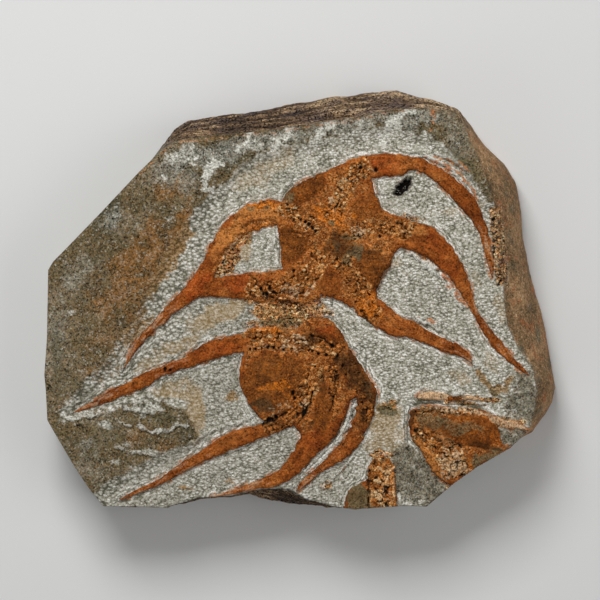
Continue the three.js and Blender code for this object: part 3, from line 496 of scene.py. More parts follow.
# Ridges of crushed white stone left along the arms and on the uncut patch.
RIDGES = [
    ([(23.6, 11.5), (25.6, 10), (27.2, 9), (29, 7.6), (30.4, 7), (32.2, 6.7)], 0.42, 1.15),
    ([(28, 7.6), (30.6, 5.9), (33, 3), (35.4, -0.4), (37, -2.4)], 0.42, 1.1),
    ([(18.4, -1.2), (20.6, -3.2), (23.6, -4.4), (26.4, -5), (29, -6.2), (32, -7.6)], 0.32, 1.2),
    ([(25.6, -4), (28.2, -4.9), (31, -6.4)], 0.3, 0.9),
    ([(-54.4, -28.3), (-51, -27.9), (-47.6, -27), (-45, -26.6)], 0.5, 0.9),
    ([(-38, -29.9), (-36.4, -30.9), (-34.5, -31.3), (-31, -30.6), (-29, -29.6), (-26.9, -29.9)], 0.42, 1),
    ([(-38.2, -28.9), (-37.4, -27.6), (-36.3, -25.7)], 0.36, 0.5),
    ([(-46, -27.6), (-43.6, -28.3), (-42, -29.4), (-40, -29.8)], 0.36, 0.8),
    ([(-43.4, -34.9), (-40.4, -36), (-37.4, -35.8), (-33.8, -36.6)], 0.45, 0.8),
    ([(-25.4, -33.6), (-21, -31), (-16.4, -29.8), (-12.6, -28.2), (-11, -26.6)], 0.3, 0.8),
    ([(-14.4, -13.4), (-16.4, -14.6), (-20.4, -15.2), (-24.6, -16.6)], 0.3, 0.7),
    ([(24.8, 33.6), (29.4, 32.4), (33.2, 30.6), (36, 28.2), (38.6, 25)], 0.24, 1.25),
    ([(-46, -47.6), (-40, -45.4), (-34, -42.6), (-28, -38.6)], 0.3, 0.6),
    ([(-57.4, -26.6), (-52, -24.4), (-46, -22), (-40, -19.4)], 0.3, 0.6),
    ([(-42.8, -14.6), (-40.2, -11.2), (-37.6, -8), (-34, -4.6), (-30, -0.6)], 0.3, 0.5),
    ([(4.6, -44.2), (7.6, -41.6), (10.6, -38.4), (12.6, -35.4)], 0.4, 0.8),
    ([(-6, -46.2), (-1.6, -43.2), (3, -38.2)], 0.3, 0.5),
    ([(11.1, -25.6), (10.5, -28.4), (9.4, -31), (7.2, -34.4), (4.4, -37.6), (1.6, -40.6)], 0.6, 1),
    ([(-37.6, -24.6), (-36, -25.6), (-34.6, -26.8)], 0.6, 0.7),
    ([(-41, -25.6), (-37, -26.6), (-33.4, -26.4)], 0.5, 0.8),
    ([(27.6, 12.6), (30.6, 12), (33.4, 10.2)], 0.25, 1.1),
    ([(30.6, 6.4), (33.6, 3.4), (35.6, 0.4)], 0.26, 1.25),
    ([(30.4, 33.6), (34, 32), (37.4, 29.6), (39.6, 26.6)], 0.22, 1.25),
    ([(27, -20.9), (30, -21.6), (33.6, -21.9), (37.6, -22)], 0.3, 0.5),
]

# ---- pits ----------------------------------------------------------------------------------------

# Single pits in the animals: (x, y, half width).
PITS = [
    (13.5, 30.2, 0.42), (17, 29.5, 0.5), (-32, -16.7, 0.5), (-30.8, -16.9, 0.3), (-2.3, -22.2, 0.5),
    (-1.9, -23.4, 0.4), (-7.8, -28.4, 0.55), (-6.2, -27.8, 0.45), (-9.2, -29.2, 0.4), (-7.7, 2.2, 0.5),
    (-8.3, 0.8, 0.55), (-6.8, 1.2, 0.4), (1.4, 16.9, 0.45), (2.3, 16.1, 0.4), (0.6, 17.5, 0.35),
    (2.9, 15.4, 0.35), (17.9, 14.1, 0.35), (-12.2, -12, 0.35), (-11, -12, 0.35), (-9.5, -11.9, 0.35),
    (-8.1, -11.7, 0.36), (-6.8, -11.7, 0.34), (-5.6, -11.9, 0.36), (-4.4, -12.2, 0.34),
    (2.1, -12.6, 0.34), (-9.2, 0.7, 0.38), (-8.4, -0.1, 0.3), (-7.1, -1, 0.36), (-5.5, -1.4, 0.34),
    (-3.8, -1.6, 0.34), (-9.7, 1.9, 0.4), (-2.1, 6.1, 0.4), (3.6, -13.2, 0.36), (5.4, -13.4, 0.4),
    (8.1, -13.7, 0.4),
]

# A natural pit in the floor: x, y, half length, half width, turn in degrees, depth.
PIT = (23.4, 25.7, 2.9, 1.35, 44, 1.9)

# The row of pits in the weathered edge, where an arm was lost. Then its half width, pitch, file width
# and order.
LOST_ARM = [(44.9, 21.4), (45.3, 17.4), (45.6, 13.3), (45.8, 9.1), (46.1, 5.8), (46.4, 2.6)]
LOST_ROW = (1.7, 1.1, 1.0, 0.4)

# ---- plain mathematics over arrays ---------------------------------------------------------------
# The last whole number given to a noise is its seed: it picks one pattern out of many alike.

HASH = (374761393, 668265263, 1442695041, 1274126177)


def ramp(v, low, high):
    """0 below low, 1 above high, smooth between."""
    t = np.clip((v - low) / (high - low), 0, 1)
    return t * t * (3 - 2 * t)


def most(*values):
    """The largest of several values at each place."""
    found = values[0]
    for value in values[1:]:
        found = np.maximum(found, value)
    return found


def zeros(x, count):
    return [np.zeros_like(x) for _ in range(count)]


def scatter(ix, iy, seed):
    """A repeatable random number from 0 to 1 for each whole-number place."""
    h = ix * HASH[0] + iy * HASH[1] + seed * HASH[2]
    h = (h ^ (h >> 13)) * HASH[3]
    h = (h ^ (h >> 16)) & 0xFFFFF
    return h / float(0xFFFFF)


def noise(x, y, size, seed):
    """Smooth noise from -1 to 1 whose lumps are about size across."""
    u, v = x / size + seed * 17.31, y / size - seed * 9.73
    iu, iv = np.floor(u).astype(np.int64), np.floor(v).astype(np.int64)
    fu, fv = u - iu, v - iv
    fu, fv = fu * fu * (3 - 2 * fu), fv * fv * (3 - 2 * fv)
    low = scatter(iu, iv, seed) * (1 - fu) + scatter(iu + 1, iv, seed) * fu
    high = scatter(iu, iv + 1, seed) * (1 - fu) + scatter(iu + 1, iv + 1, seed) * fu
    return (low * (1 - fv) + high * fv) * 2 - 1


def cloud(x, y, size, seed, octaves=4):
    """Noise with finer noise on it."""
    total = np.zeros_like(x, dtype=float)
    for k in range(octaves):
        c, s = math.cos(0.6 * k), math.sin(0.6 * k)
        total += noise(x * c - y * s, x * s + y * c, size / 2 ** k, seed + k) * 0.5 ** k
    return total / 1.6


def cells(x, y, size, seed, jitter=0.9):
    """Distances to the nearest and second nearest of scattered points, in sizes, and the nearest's number."""
    u, v = x / size, y / size
    iu, iv = np.floor(u).astype(np.int64), np.floor(v).astype(np.int64)
    first = np.full(u.shape, 9.0)
    second = np.full(u.shape, 9.0)
    number = np.zeros(u.shape)
    for du in (-1, 0, 1):
        for dv in (-1, 0, 1):
            cu, cv = iu + du, iv + dv
            pu = cu + 0.5 + (scatter(cu, cv, seed) - 0.5) * jitter
            pv = cv + 0.5 + (scatter(cu, cv, seed + 7) - 0.5) * jitter
            d = np.hypot(u - pu, v - pv)
            nearer = d < first
            second = np.where(nearer, first, np.minimum(second, d))
            number = np.where(nearer, scatter(cu, cv, seed + 13), number)
            first = np.where(nearer, d, first)
    return first, second, number


def spline(points, per=6):
    """Points on a smooth curve through the given ones."""
    p = np.array(points, float)
    p = np.vstack([2 * p[0] - p[1], p, 2 * p[-1] - p[-2]])
    out = []
    for a, b, c, d in zip(p, p[1:], p[2:], p[3:]):
        for t in np.arange(per) / per:
            out.append(0.5 * (2 * b + (c - a) * t + (2 * a - 5 * b + 4 * c - d) * t ** 2
                              + (3 * b - a - 3 * c + d) * t ** 3))
    out.append(p[-2])
    return np.array(out)


def beside(x, y, a, b):
    """How far along a segment each place lies, from 0 to 1, and how far off it in x and y."""
    ex, ey = b[0] - a[0], b[1] - a[1]
    t = np.clip(((x - a[0]) * ex + (y - a[1]) * ey) / (ex * ex + ey * ey), 0, 1)
    return t, x - a[0] - t * ex, y - a[1] - t * ey


def along(x, y, line, reach=6.0):
    """For each place near a line: its distance, its side, the length so far and the line's third value."""
    away = np.full(x.shape, 99.0)
    side = np.zeros(x.shape)
    gone = np.zeros(x.shape)
    third = np.full(x.shape, line[0][2] if line.shape[1] > 2 else 0.0)
    low, high = line[:, :2].min(0) - reach, line[:, :2].max(0) + reach
    near = np.where((x > low[0]) & (x < high[0]) & (y > low[1]) & (y < high[1]))[0]
    px, py = x[near], y[near]
    best, s, g, w = away[near], side[near], gone[near], third[near]
    total = 0.0
    for a, b in zip(line[:-1], line[1:]):
        t, dx, dy = beside(px, py, a, b)
        size = math.dist(a[:2], b[:2])
        d = np.hypot(dx, dy)
        nearer = d < best
        best = np.where(nearer, d, best)
        s = np.where(nearer, np.sign((b[0] - a[0]) * dy - (b[1] - a[1]) * dx), s)
        g = np.where(nearer, total + t * size, g)
        if line.shape[1] > 2:
            w = np.where(nearer, a[2] + t * (b[2] - a[2]), w)
        total += size
    away[near], side[near], gone[near], third[near] = best, s, g, w
    return away, side, gone, third


def inside(x, y, outline):
    """Distance to an outline, positive within it."""
    best = np.full(x.shape, 1e9)
    odd = np.zeros(x.shape, bool)
    for a, b in zip(outline[-1:] + outline[:-1], outline):
        _, dx, dy = beside(x, y, a, b)
        best = np.minimum(best, dx ** 2 + dy ** 2)
        slope = (b[0] - a[0]) * (y - a[1]) / ((b[1] - a[1]) or 1e-9)
        odd ^= ((a[1] > y) != (b[1] > y)) & (x < slope + a[0])
    return np.sqrt(best) * np.where(odd, 1, -1)


def turned(x, y, long, wide, turn):
    """The same places along a turned oval's own axes, which it reaches at 1."""
    c, s = math.cos(math.radians(turn)), math.sin(math.radians(turn))
    return (x * c + y * s) / long, (-x * s + y * c) / wide


def marks(x, y, places, seed):
    """The strongest of a list of marks at each place, with broken outlines."""
    found = np.zeros_like(x)
    slow_x, slow_y = cloud(x, y, 3.4, seed, 3), cloud(x, y, 3.4, seed + 5, 3)
    fast_x, fast_y = cloud(x, y, 1.1, seed + 9, 2), cloud(x, y, 1.1, seed + 11, 2)
    for mx, my, long, wide, turn, strength in places:
        slow, fast = min(long, wide, 4) * 0.75, min(long, wide, 1.6) * 0.6
        near = (np.abs(x - mx) < 2 * (long + wide)) & (np.abs(y - my) < 2 * (long + wide))
        if not near.any():
            continue
        u, v = turned(
            x[near] + slow * slow_x[near] + fast * fast_x[near] - mx,
            y[near] + slow * slow_y[near] + fast * fast_y[near] - my, long, wide, turn,
        )
        found[near] = np.maximum(found[near], strength * ramp(-(u * u + v * v), -1.6, -0.35))
    return found


def lines(x, y, places, seed, torn=1.0):
    """Thin lines at each place: 1 on the line, torn along its length."""
    found = np.zeros_like(x)
    tear = torn * (0.8 * noise(x, y, 1.1, seed) + 0.6 * noise(x, y, 0.4, seed + 1))
    shift = 0.3 * noise(x, y, 1.4, seed + 2) + 0.2 * noise(x, y, 0.5, seed + 3)
    for points, wide, strength in places:
        away, side, _, _ = along(x, y, spline(points, 4), 1.5)
        away = np.where(away < 9, np.abs(away * side + shift), away)
        found = np.maximum(found, strength * ramp(wide * (1 + tear) - away, -0.16, 0.16))
    return found


# ---- the stars as fields over the face -----------------------------------------------------------

for star in STARS.values():
    star["lines"] = [spline(arm, 5) for arm in star["arms"]]
    star["paths"] = [spline(row[0], 6) for row in star["rows"]]


def star_edge(x, y, star):
    """How far inside a star's outline each place is, and of the nearest arm the half width, run and side."""
    edge = np.full(x.shape, -99.0)
    half = np.full(x.shape, 3.0)
    run, across = zeros(x, 2)
    for k, arm in enumerate(star["lines"]):
        away, side, gone, wide = along(x, y, arm)
        here = wide - away
        nearer = here > edge
        half = np.where(nearer, wide, half)
        run = np.where(nearer, gone + ARM_APART * k, run)
        across = np.where(nearer, away * side, across)
        edge = np.maximum(edge, here)
    if star["disc"]:
        here = inside(x, y, star["disc"])
        half = np.where(here > edge, DISC_HALF, half)
        edge = np.maximum(edge, here)
    return edge, half, run, across


def plates(x, y, path, wide, pitch, file, order, seed):
    """Plates in files along a row: height, holes, crevices, the band they fill and each one's number."""
    away, side, gone, _ = along(x, y, path, wide + 2)
    length = np.hypot(*np.diff(path[:, :2], axis=0).T).sum()
    ends = ramp(gone, 0, 1.2) * ramp(length - gone, -0.2, 1.8)
    loose = 1 - order
    edge = wide * (0.75 + 0.25 * ends) + (0.2 + 0.4 * loose) * noise(x, y, 1.1, seed + 8) - away
    band = ramp(edge, -0.35, 0.35) * ramp(ends, 0, 0.25)
    bend = 0.15 + 0.3 * loose
    u = gone / pitch + 0.2 * away + bend * noise(x, y, 0.8, seed) + 3.5 * (side > 0)
    v = away * side / file + 0.5 + bend * noise(x, y, 0.8, seed + 4)
    first, second, number = cells(u, v, 1.0, seed, 0.3 + 0.6 * loose)
    torn = ramp(noise(x, y, 0.7, seed + 6), -0.45, 0.2)
    crevice = (1 - ramp(second - first, 0.0, 0.2)) * (1 - 0.75 * loose * (1 - torn))
    crown = ramp(second - first, 0.02, 0.4)
    hole = ramp(first, 0.52, 0.68) * ramp(noise(x, y, 1.3, seed + 7), -0.4, 0.1)
    height = (0.18 + 0.2 * order) * crown * (0.4 + 0.8 * number) - 0.1 + 0.14 * cloud(x, y, 0.6, seed + 3, 2)
    return height * band, hole * band, crevice * band, band, number


def rubble(x, y, seed):
    """Broken plates that lie every way: their height, cracks and numbers."""
    wx = x + 0.3 * noise(x, y, 0.6, seed + 1)
    wy = y + 0.3 * noise(x, y, 0.6, seed + 2)
    first, second, number = cells(wx, wy, 0.7, seed)
    chip = cells(wx, wy, 0.4, seed + 3)[2]
    fold = np.abs(noise(x, y, 0.7, seed + 4) + 0.4 * noise(x, y, 0.3, seed + 5))
    crack = ramp(-fold, -0.13, -0.04) * ramp(noise(x, y, 1.3, seed + 6), 0.0, 0.3)
    height = 0.16 * ramp(second - first, 0, 0.5) * (0.2 + number) + 0.1 * chip - 0.1
    return height, crack, 0.55 * number + 0.45 * chip


def star_fields(x, y, name):
    """Everything about a star at each place: its height in millimetres and its colour masks."""
    star = STARS[name]
    seed = 40 + 10 * list(STARS).index(name)
    edge, half, run, across = star_edge(x, y, star)
    masks = {kind: marks(x, y, places, seed + 14) for kind, places in SPOTS.items()}
    ragged = 0.24 * cloud(x, y, 2.2, seed, 3) + (0.2 + 0.35 * masks["rough"]) * noise(x, y, 0.7, seed + 5)
    edge = edge + ragged * ramp(half, 0.3, 1.4)
    rise = np.minimum(TIP_RISE + RISE_A_WIDTH * half, MOST_RISE)
    shoulder = np.clip(edge / np.clip(half * 0.75, 0.35, 1.5), 0, 1)
    body = rise * (0.16 + 0.84 * np.sqrt(np.clip(shoulder * (2 - shoulder), 0, 1)))
    streak = 0.6 * noise(run * 0.25, across, 0.5, seed + 7) + 0.4 * noise(run * 0.3, across, 0.22, seed + 8)
    skin = 0.12 * cloud(x, y, 2.6, seed + 9) + 0.06 * cloud(x, y, 0.7, seed + 11, 3) + 0.04 * streak
    buried = marks(x, y, DEBRIS, DEBRIS_SEED)
    z = FLOOR + body * (1 - 0.6 * buried) + skin
    brown, dome, row, hole, crevice, number = zeros(x, 6)
    bend_x, bend_y = 0.8 * cloud(x, y, 4, seed + 12, 2), 0.8 * cloud(x, y, 4, seed + 13, 2)
    for dx, dy, long, wide, turn, height, colour in star["domes"]:
        u, v = turned(x - dx + bend_x, y - dy + bend_y, long, wide, turn)
        bulge = np.clip(1 - u * u - v * v, 0, 1)
        z = z + height * bulge ** 0.7
        brown = np.maximum(brown, colour * ramp(bulge, 0, 0.35))
        dome = np.maximum(dome, ramp(bulge, 0, 0.25))
    # Rows of plates, and rubble where they fell apart.
    for k, ((_, *sizes, share), path) in enumerate(zip(star["rows"], star["paths"])):
        height_k, hole_k, crevice_k, band_k, number_k = plates(x, y, path, *sizes, seed + 20 + k)
        z = z + height_k * (1 - 0.7 * dome)
        number = np.where(band_k > row, number_k + 0.8 * (share - 0.5), number)
        row = np.maximum(row, band_k)
        hole = np.maximum(hole, hole_k)
        crevice = np.maximum(crevice, crevice_k)
    heap, deep, piece = rubble(x, y, seed + 31)
    ground = 0.75 * ramp(inside(x, y, star["disc"]), 0.2, 1.6) * (1 - dome) if star["disc"] else 0.0
    rough = most(masks["rough"], 0.9 * buried, ground) + 0.3 * noise(x, y, 1.2, seed + 36)
    rough = ramp(rough, 0.3, 0.8) * (1 - 0.6 * row)
    z = z + rough * heap
    number = np.where(rough > row, piece, number)
    crevice = np.maximum(crevice, deep * rough)
    # Cracks and single pits: cut in, and painted near black as shade.
    opening = lines(x, y, CRACKS, seed + 37)
    for px, py, size in PITS:
        d = np.hypot(x - px, (y - py) * 0.85) + 0.12 * noise(x, y, 0.5, seed + 38)
        opening = np.maximum(opening, ramp(-d, -size * 1.15, -size * 0.7))
    # The holes and cracks as one mask, for their depth and for their painted shade, near black.
    black = np.clip(0.9 * hole + opening, 0, 1)
    z = z - HOLE_DEPTH * black - CREVICE_DEPTH * crevice
    fall = ramp(edge, -0.05, 0.3)
    z = np.where(edge > 0.3, z, (FLOOR - SEAT) * (1 - fall) + z * fall)
    z = np.where(edge < -0.05, FLOOR - SEAT, z)
    loose = np.maximum(row, 0.7 * rough)
    narrow = 0.45 * ramp(-half, -2.2, -0.9) * (name != "loose_rays")
    masks.update(
        z=z, edge=edge, brown=brown * (1 - 0.8 * loose), loose=loose, black=black, crevice=crevice,
        plated=row, number=np.clip(number, 0, 1), streak=0.5 + 0.5 * streak,
        dusty=np.maximum(narrow, 0.6 * ramp(-edge, -0.5, 0.0)),
    )
    return masks


# ---- the block's upper face ----------------------------------------------------------------------


def ring_at(level=None):
    """The block's outline at one of its levels, or halfway between the face's edge and the back's."""
    ring = []
    for _, corners, lean in SIDES:
        share = 0.5 if level is None else lean[level]
        for corner in corners:
            x, y = corner[:2]
            bx, by = corner[-2:]
            ring.append((x + (bx - x) * share, y + (by - y) * share))
    return ring


RIM = ring_at(0)


def pellets(x, y, size, seed, bend=0.3):
    """Round pellets about size apart: height from 0 to 1 and each one's number."""
    near, far = 0.95 * size, 2.6 * size
    wx = x + bend * size * noise(x, y, near, seed + 1) + 0.3 * size * noise(x, y, far, seed + 2)
    wy = y + bend * size * noise(x, y, near, seed + 3) + 0.3 * size * noise(x, y, far, seed + 4)
    first, second, number = cells(wx, wy, size, seed)
    return np.clip(1 - (first / 0.72) ** 2, 0, 1) * (0.45 + 0.55 * ramp(second - first, 0, 0.22)), number


def flakes(x, y, size, seed):
    """Short overlapping flakes that lie in slowly turning directions: height from 0 to 1."""
    turning = noise(x, y, 6.5, seed + 20)
    height, whole = zeros(x, 2)
    for k, (angle, middle) in enumerate([(20, -0.5), (75, 0.0), (140, 0.5)]):
        share = np.exp(-((turning - middle) / 0.22) ** 2) + 0.02
        u, v = turned(x, y, 1, 1, angle)
        flake, number = pellets(u * 0.62, v, size, seed + 5 * k, 0.42)
        height += share * flake * (0.6 + 0.5 * number)
        whole += share
    return height / whole


def near_animals(x, y):
    """The distance to the nearest animal, less than 0 within it, and how far along its arm a place lies."""
    near = np.full(x.shape, 99.0)
    run = np.zeros(x.shape)
    for star in STARS.values():
        for arm in star["lines"]:
            away, side, gone, wide = along(x, y, arm, 9.0)
            gap = away - wide
            run = np.where(gap < near, gone + SIDE_APART * side, run)
            near = np.minimum(near, gap)
        if star["disc"]:
            near = np.minimum(near, -inside(x, y, star["disc"]))
    return near, run


def scribed(x, y, near, run):
    """The scribe's marks: their height, and the shares of flakes, of strokes and of the brighter right."""
    drift = 5 * noise(x, y, 9, 25)
    blend = ramp(x - 0.35 * y + drift, -34, -4)
    coarse, pick = pellets(x, y, PELLET, 23)
    dot = coarse * (0.7 + 0.45 * pick) * (1 - blend) + flakes(x, y, FLAKE, 24) * blend
    u, v = run / STROKE[0] + 0.3 * noise(x, y, 2, 26), near / STROKE[1] + 0.4 * noise(x, y, 1.3, 29)
    first, second, number = cells(u, v, 1.0, 27)
    strokes = ramp(second - first, 0.0, 0.35) * (0.35 + 0.65 * number)
    comb = ramp(noise(x, y, 8, 28), -0.35, 0.25)
    combed = ramp(-near, -0.9 - 1.8 * comb, -0.4) * (0.1 + 0.75 * comb)
    return dot * (1 - combed) + strokes * combed, blend, combed, ramp(x + 0.5 * y + drift, -22, 2)


def face_fields(x, y):
    """The block's upper face at each place: its height in millimetres and its colour masks."""
    carve = inside(x, y, CARVED) + 0.9 * cloud(x, y, 3.2, 11, 3)
    prepared = ramp(carve + 0.5 * noise(x, y, 0.9, 12), -0.9, 1.3)
    depth = ramp(carve, -0.6, 3.0)
    near, run = near_animals(x, y)
    smooth = marks(x, y, SMOOTH, 71)
    dot, blend, combed, lit = scribed(x, y, near, run)
    debris = ramp(marks(x, y, DEBRIS, DEBRIS_SEED) + 0.3 * noise(x, y, 1.0, 44), 0.3, 0.7)
    heap, crack, piece = rubble(x, y, 45)
    crack = np.clip(2.2 * crack, 0, 1)
    ridge = lines(x, y, RIDGES, RIDGE_SEED, 0.7) * ramp(near, -0.7, -0.2)
    # A groove on the side of each ridge away from the key lamp: cut in, and also painted dark olive as its
    # shadow.
    lee = lines(x - LEE_SHIFT[0], y - LEE_SHIFT[1], RIDGES, RIDGE_SEED, 0.7)
    lee = lee * ramp(near, -0.2, 0.2) * (1 - ridge)
    ridge = ridge * (0.66 + 0.34 * ramp(noise(x, y, 1.7, 48), -0.45, 0.25))
    # Levels.
    bedding = TOP - 0.25 + 0.16 * cloud(x, y, 11, 31, 4) + 0.07 * cloud(x, y, 0.9, 32, 3)
    carved = FLOOR + 0.22 * cloud(x, y, 12, 33, 2) + 0.1 * cloud(x, y, 3.2, 34, 2)
    dots = (dot - 0.5) * (DOT_RELIEF - FLAKE_LOSS * blend + STROKE_GAIN * combed) * (1 - 0.8 * smooth)
    crushed = np.maximum(marks(x, y, CRUSHED, 72), lines(x, y, STREAKS, 64))
    prepared = np.maximum(prepared, crushed)
    z = bedding * (1 - depth) + carved * depth + dots * prepared + 0.04 * cloud(x, y, 0.5, 35, 2)
    z = z + RIDGE_RISE * ridge - LEE_DEPTH * lee + debris * (2.6 * heap - 0.4 * crack)
    # The floor stays under the stars' edges.
    z = np.where(near < 1.4, np.minimum(z, FLOOR + 0.35 + 0.5 * np.clip(near, 0, 9)), z)
    z = np.where(near < -0.8, FLOOR - 0.1, z)
    # The pit, and the pits of the lost arm.
    px, py, long, wide, turn, deep = PIT
    u, v = turned(x - px, y - py, long, wide, turn)
    r = np.sqrt(u * u + v * v) + 0.18 * noise(x, y, 0.8, 36) + 0.12 * noise(x, y, 0.35, 30)
    pit = ramp(-r, -1.12, -0.8)
    z = z - deep * pit * (0.8 + 0.3 * noise(x, y, 0.5, 37))
    height, hole, crevice, lost, number = plates(x, y, spline(LOST_ARM), *LOST_ROW, 38)
    z = z + 1.4 * height - 0.8 * hole
    debris = np.maximum(debris, 0.92 * lost)
    # Colours.
    pit_rim = ramp(-r, -1.9, -1.1) * (1 - pit)
    stripe = ramp(-np.abs(inside(x, y, RIM) - 0.5 + 0.2 * noise(x, y, 1, 49)), -0.45, -0.1)
    rim_line = stripe * ramp(y, 24, 30) * (x < 24)
    chips = ramp(noise(run * 0.35, near, 0.7, 39), 0.1, 0.4) * ramp(-near, -0.9, -0.1) * (near > -0.2)
    flaked = lines(x, y, FLAKES, 46, 0.6) * ramp(noise(run * 0.4, near, 0.4, 47), -0.7, 0.1)
    powder = ramp(-np.abs(near - 0.3 - 0.3 * noise(x, y, 2, 41)), -0.3, -0.05)
    powder = powder * ramp(noise(x, y, 4, 42), 0.0, 0.4)
    return {
        "z": z, "lost": lost, "prepared": prepared * (1 - 0.85 * smooth), "fine": blend, "lit": lit,
        "combed": combed, "run": run, "near": near, "smooth": smooth, "debris": debris,
        "rust": marks(x, y, RUST, 73), "stain": marks(x, y, STAIN, 74), "cool": marks(x, y, COOL, 75),
        # Dark olive grey patches, partly painted shadow, and the painted shadow in the grooves beside the
        # ridges.
        "moss": np.maximum(marks(x, y, OLIVE_AND_SHADOW, 76), 0.5 * lee),
        "white": np.clip(most(0.7 * crushed, 0.78 * ridge, 0.45 * powder * prepared), 0, 1),
        # dark: painted shade, near black, in the pit, the lost arm's holes and gaps and the debris's cracks
        "dark": np.clip(pit + 0.85 * hole + 0.45 * crevice + debris * crack, 0, 1),
        "number": np.where(lost > 0.5, number, piece),
        "warm": np.clip(0.3 * pit_rim + most(0.8 * chips, flaked) + 0.6 * rim_line, 0, 1),
    }


# ---- meshes --------------------------------------------------------------------------------------


def new_mesh(name, points, faces):
    mesh = bpy.data.meshes.new(name)
    mesh.from_pydata(np.asarray(points).tolist(), [], faces)
    mesh.validate()
    mesh.update()
    return mesh


def linked(obj):
    bpy.context.scene.collection.objects.link(obj)
    return obj


def new_object(name, mesh):
    return linked(bpy.data.objects.new(name, mesh))


def read(rows, key):
    """A table of three numbers for each of a mesh's points."""
    values = np.empty(len(rows) * 3, np.float32)
    rows.foreach_get(key, values)
    return values.reshape(-1, 3).astype(float)


def apply_modifier(obj, kind, **settings):
    """The object's mesh after one modifier, which isn't kept."""
    modifier = obj.modifiers.new("work", kind)
    for key, value in settings.items():
        setattr(modifier, key, value)
    graph = bpy.context.evaluated_depsgraph_get()
    result = bpy.data.meshes.new_from_object(obj.evaluated_get(graph))
    obj.modifiers.remove(modifier)
    old = obj.data
    obj.data = result
    result.name = old.name
    bpy.data.meshes.remove(old)
    return result


def dress(mesh, masks):
    """Stores the masks at the mesh's points, where the materials read them, and turns it into metres."""
    for name, values in masks.items():
        attribute = mesh.attributes.new(name, "FLOAT", "POINT")
        attribute.data.foreach_set("value", np.asarray(values, np.float32))
    mesh.polygons.foreach_set("use_smooth", np.ones(len(mesh.polygons), bool))
    mesh.transform(Matrix.Scale(MM, 4))


def outline_at(level, every=1.2):
    """The block's outline at one of its levels, with points at even steps, counterclockwise."""
    ring = ring_at(level)
    points = []
    for k, (ax, ay) in enumerate(ring):
        after = (k + 1) % len(ring)
        bx, by = ring[after]
        count = max(1, round(math.dist(RIM[k], RIM[after]) / every))
        points += [(ax + (bx - ax) * t, ay + (by - ay) * t) for t in np.arange(count) / count]
    return points[::-1]


def side_kinds(x, y):
    """How much each place belongs to the sawn, broken and weathered sides, and how far round it lies."""
    best = np.full(x.shape, 1e9)
    run = np.zeros(x.shape)
    nearest = {kind: np.full(x.shape, 1e9) for kind in ("sawn", "broken", "weathered")}
    total = 0.0
    ring = ring_at()
    kinds = [kind for kind, corners, _ in SIDES for _ in corners]
    for kind, a, b in zip(kinds, ring, ring[1:] + ring[:1]):
        t, dx, dy = beside(x, y, a, b)
        d = np.hypot(dx, dy)
        size = math.dist(a, b)
        run = np.where(d < best, total + t * size, run)
        best = np.minimum(best, d)
        nearest[kind] = np.minimum(nearest[kind], d)
        total += size
    weights = {kind: np.exp(-(d - best) / 0.8) for kind, d in nearest.items()}
    whole = sum(weights.values())
    return {kind: w / whole for kind, w in weights.items()}, run


def ledges(run, z):
    """The layers that show on a broken side, from -1 to 1."""
    beds = z + 0.5 * noise(run, z, 14, 51) + 0.25 * noise(run, z, 4, 52)
    return noise(run * 0.12, beds, 0.9, 53) * 0.6 + noise(run * 0.2, beds, 0.45, 54) * 0.4


def side_relief(run, z, kinds):
    """How far a side stands out, in millimetres."""
    broken = 0.5 * ledges(run, z) + 0.26 * cloud(run, z, 5, 55) + 0.12 * cloud(run, z, 0.9, 56, 3)
    weathered = 0.3 * cloud(run, z, 8, 57, 3) + 0.1 * cloud(run, z, 1.6, 58, 3)
    sawn = 0.03 * np.sin(z * 5.2 + 0.02 * run) + 0.04 * cloud(run, z, 3, 59, 3)
    return broken * kinds["broken"] + weathered * kinds["weathered"] + sawn * kinds["sawn"]


def survey(mesh):
    """A block mesh's points and normals, and what its sides and its face are like there."""
    co, normal = read(mesh.vertices, "co"), read(mesh.vertex_normals, "vector")
    x, y, _ = co.T
    return co, normal, *side_kinds(x, y), face_fields(x, y)


FACE_MASKS = (
    "prepared", "fine", "lit", "combed", "run", "near", "rust", "stain", "cool", "moss", "white", "dark",
    "warm", "smooth", "debris", "number",
)
STAR_MASKS = (
    "brown", "loose", "black", "crevice", "number", "tan", "bright", "pale", "green", "dark", "red",
    "streak", "dusty", "plated",
)


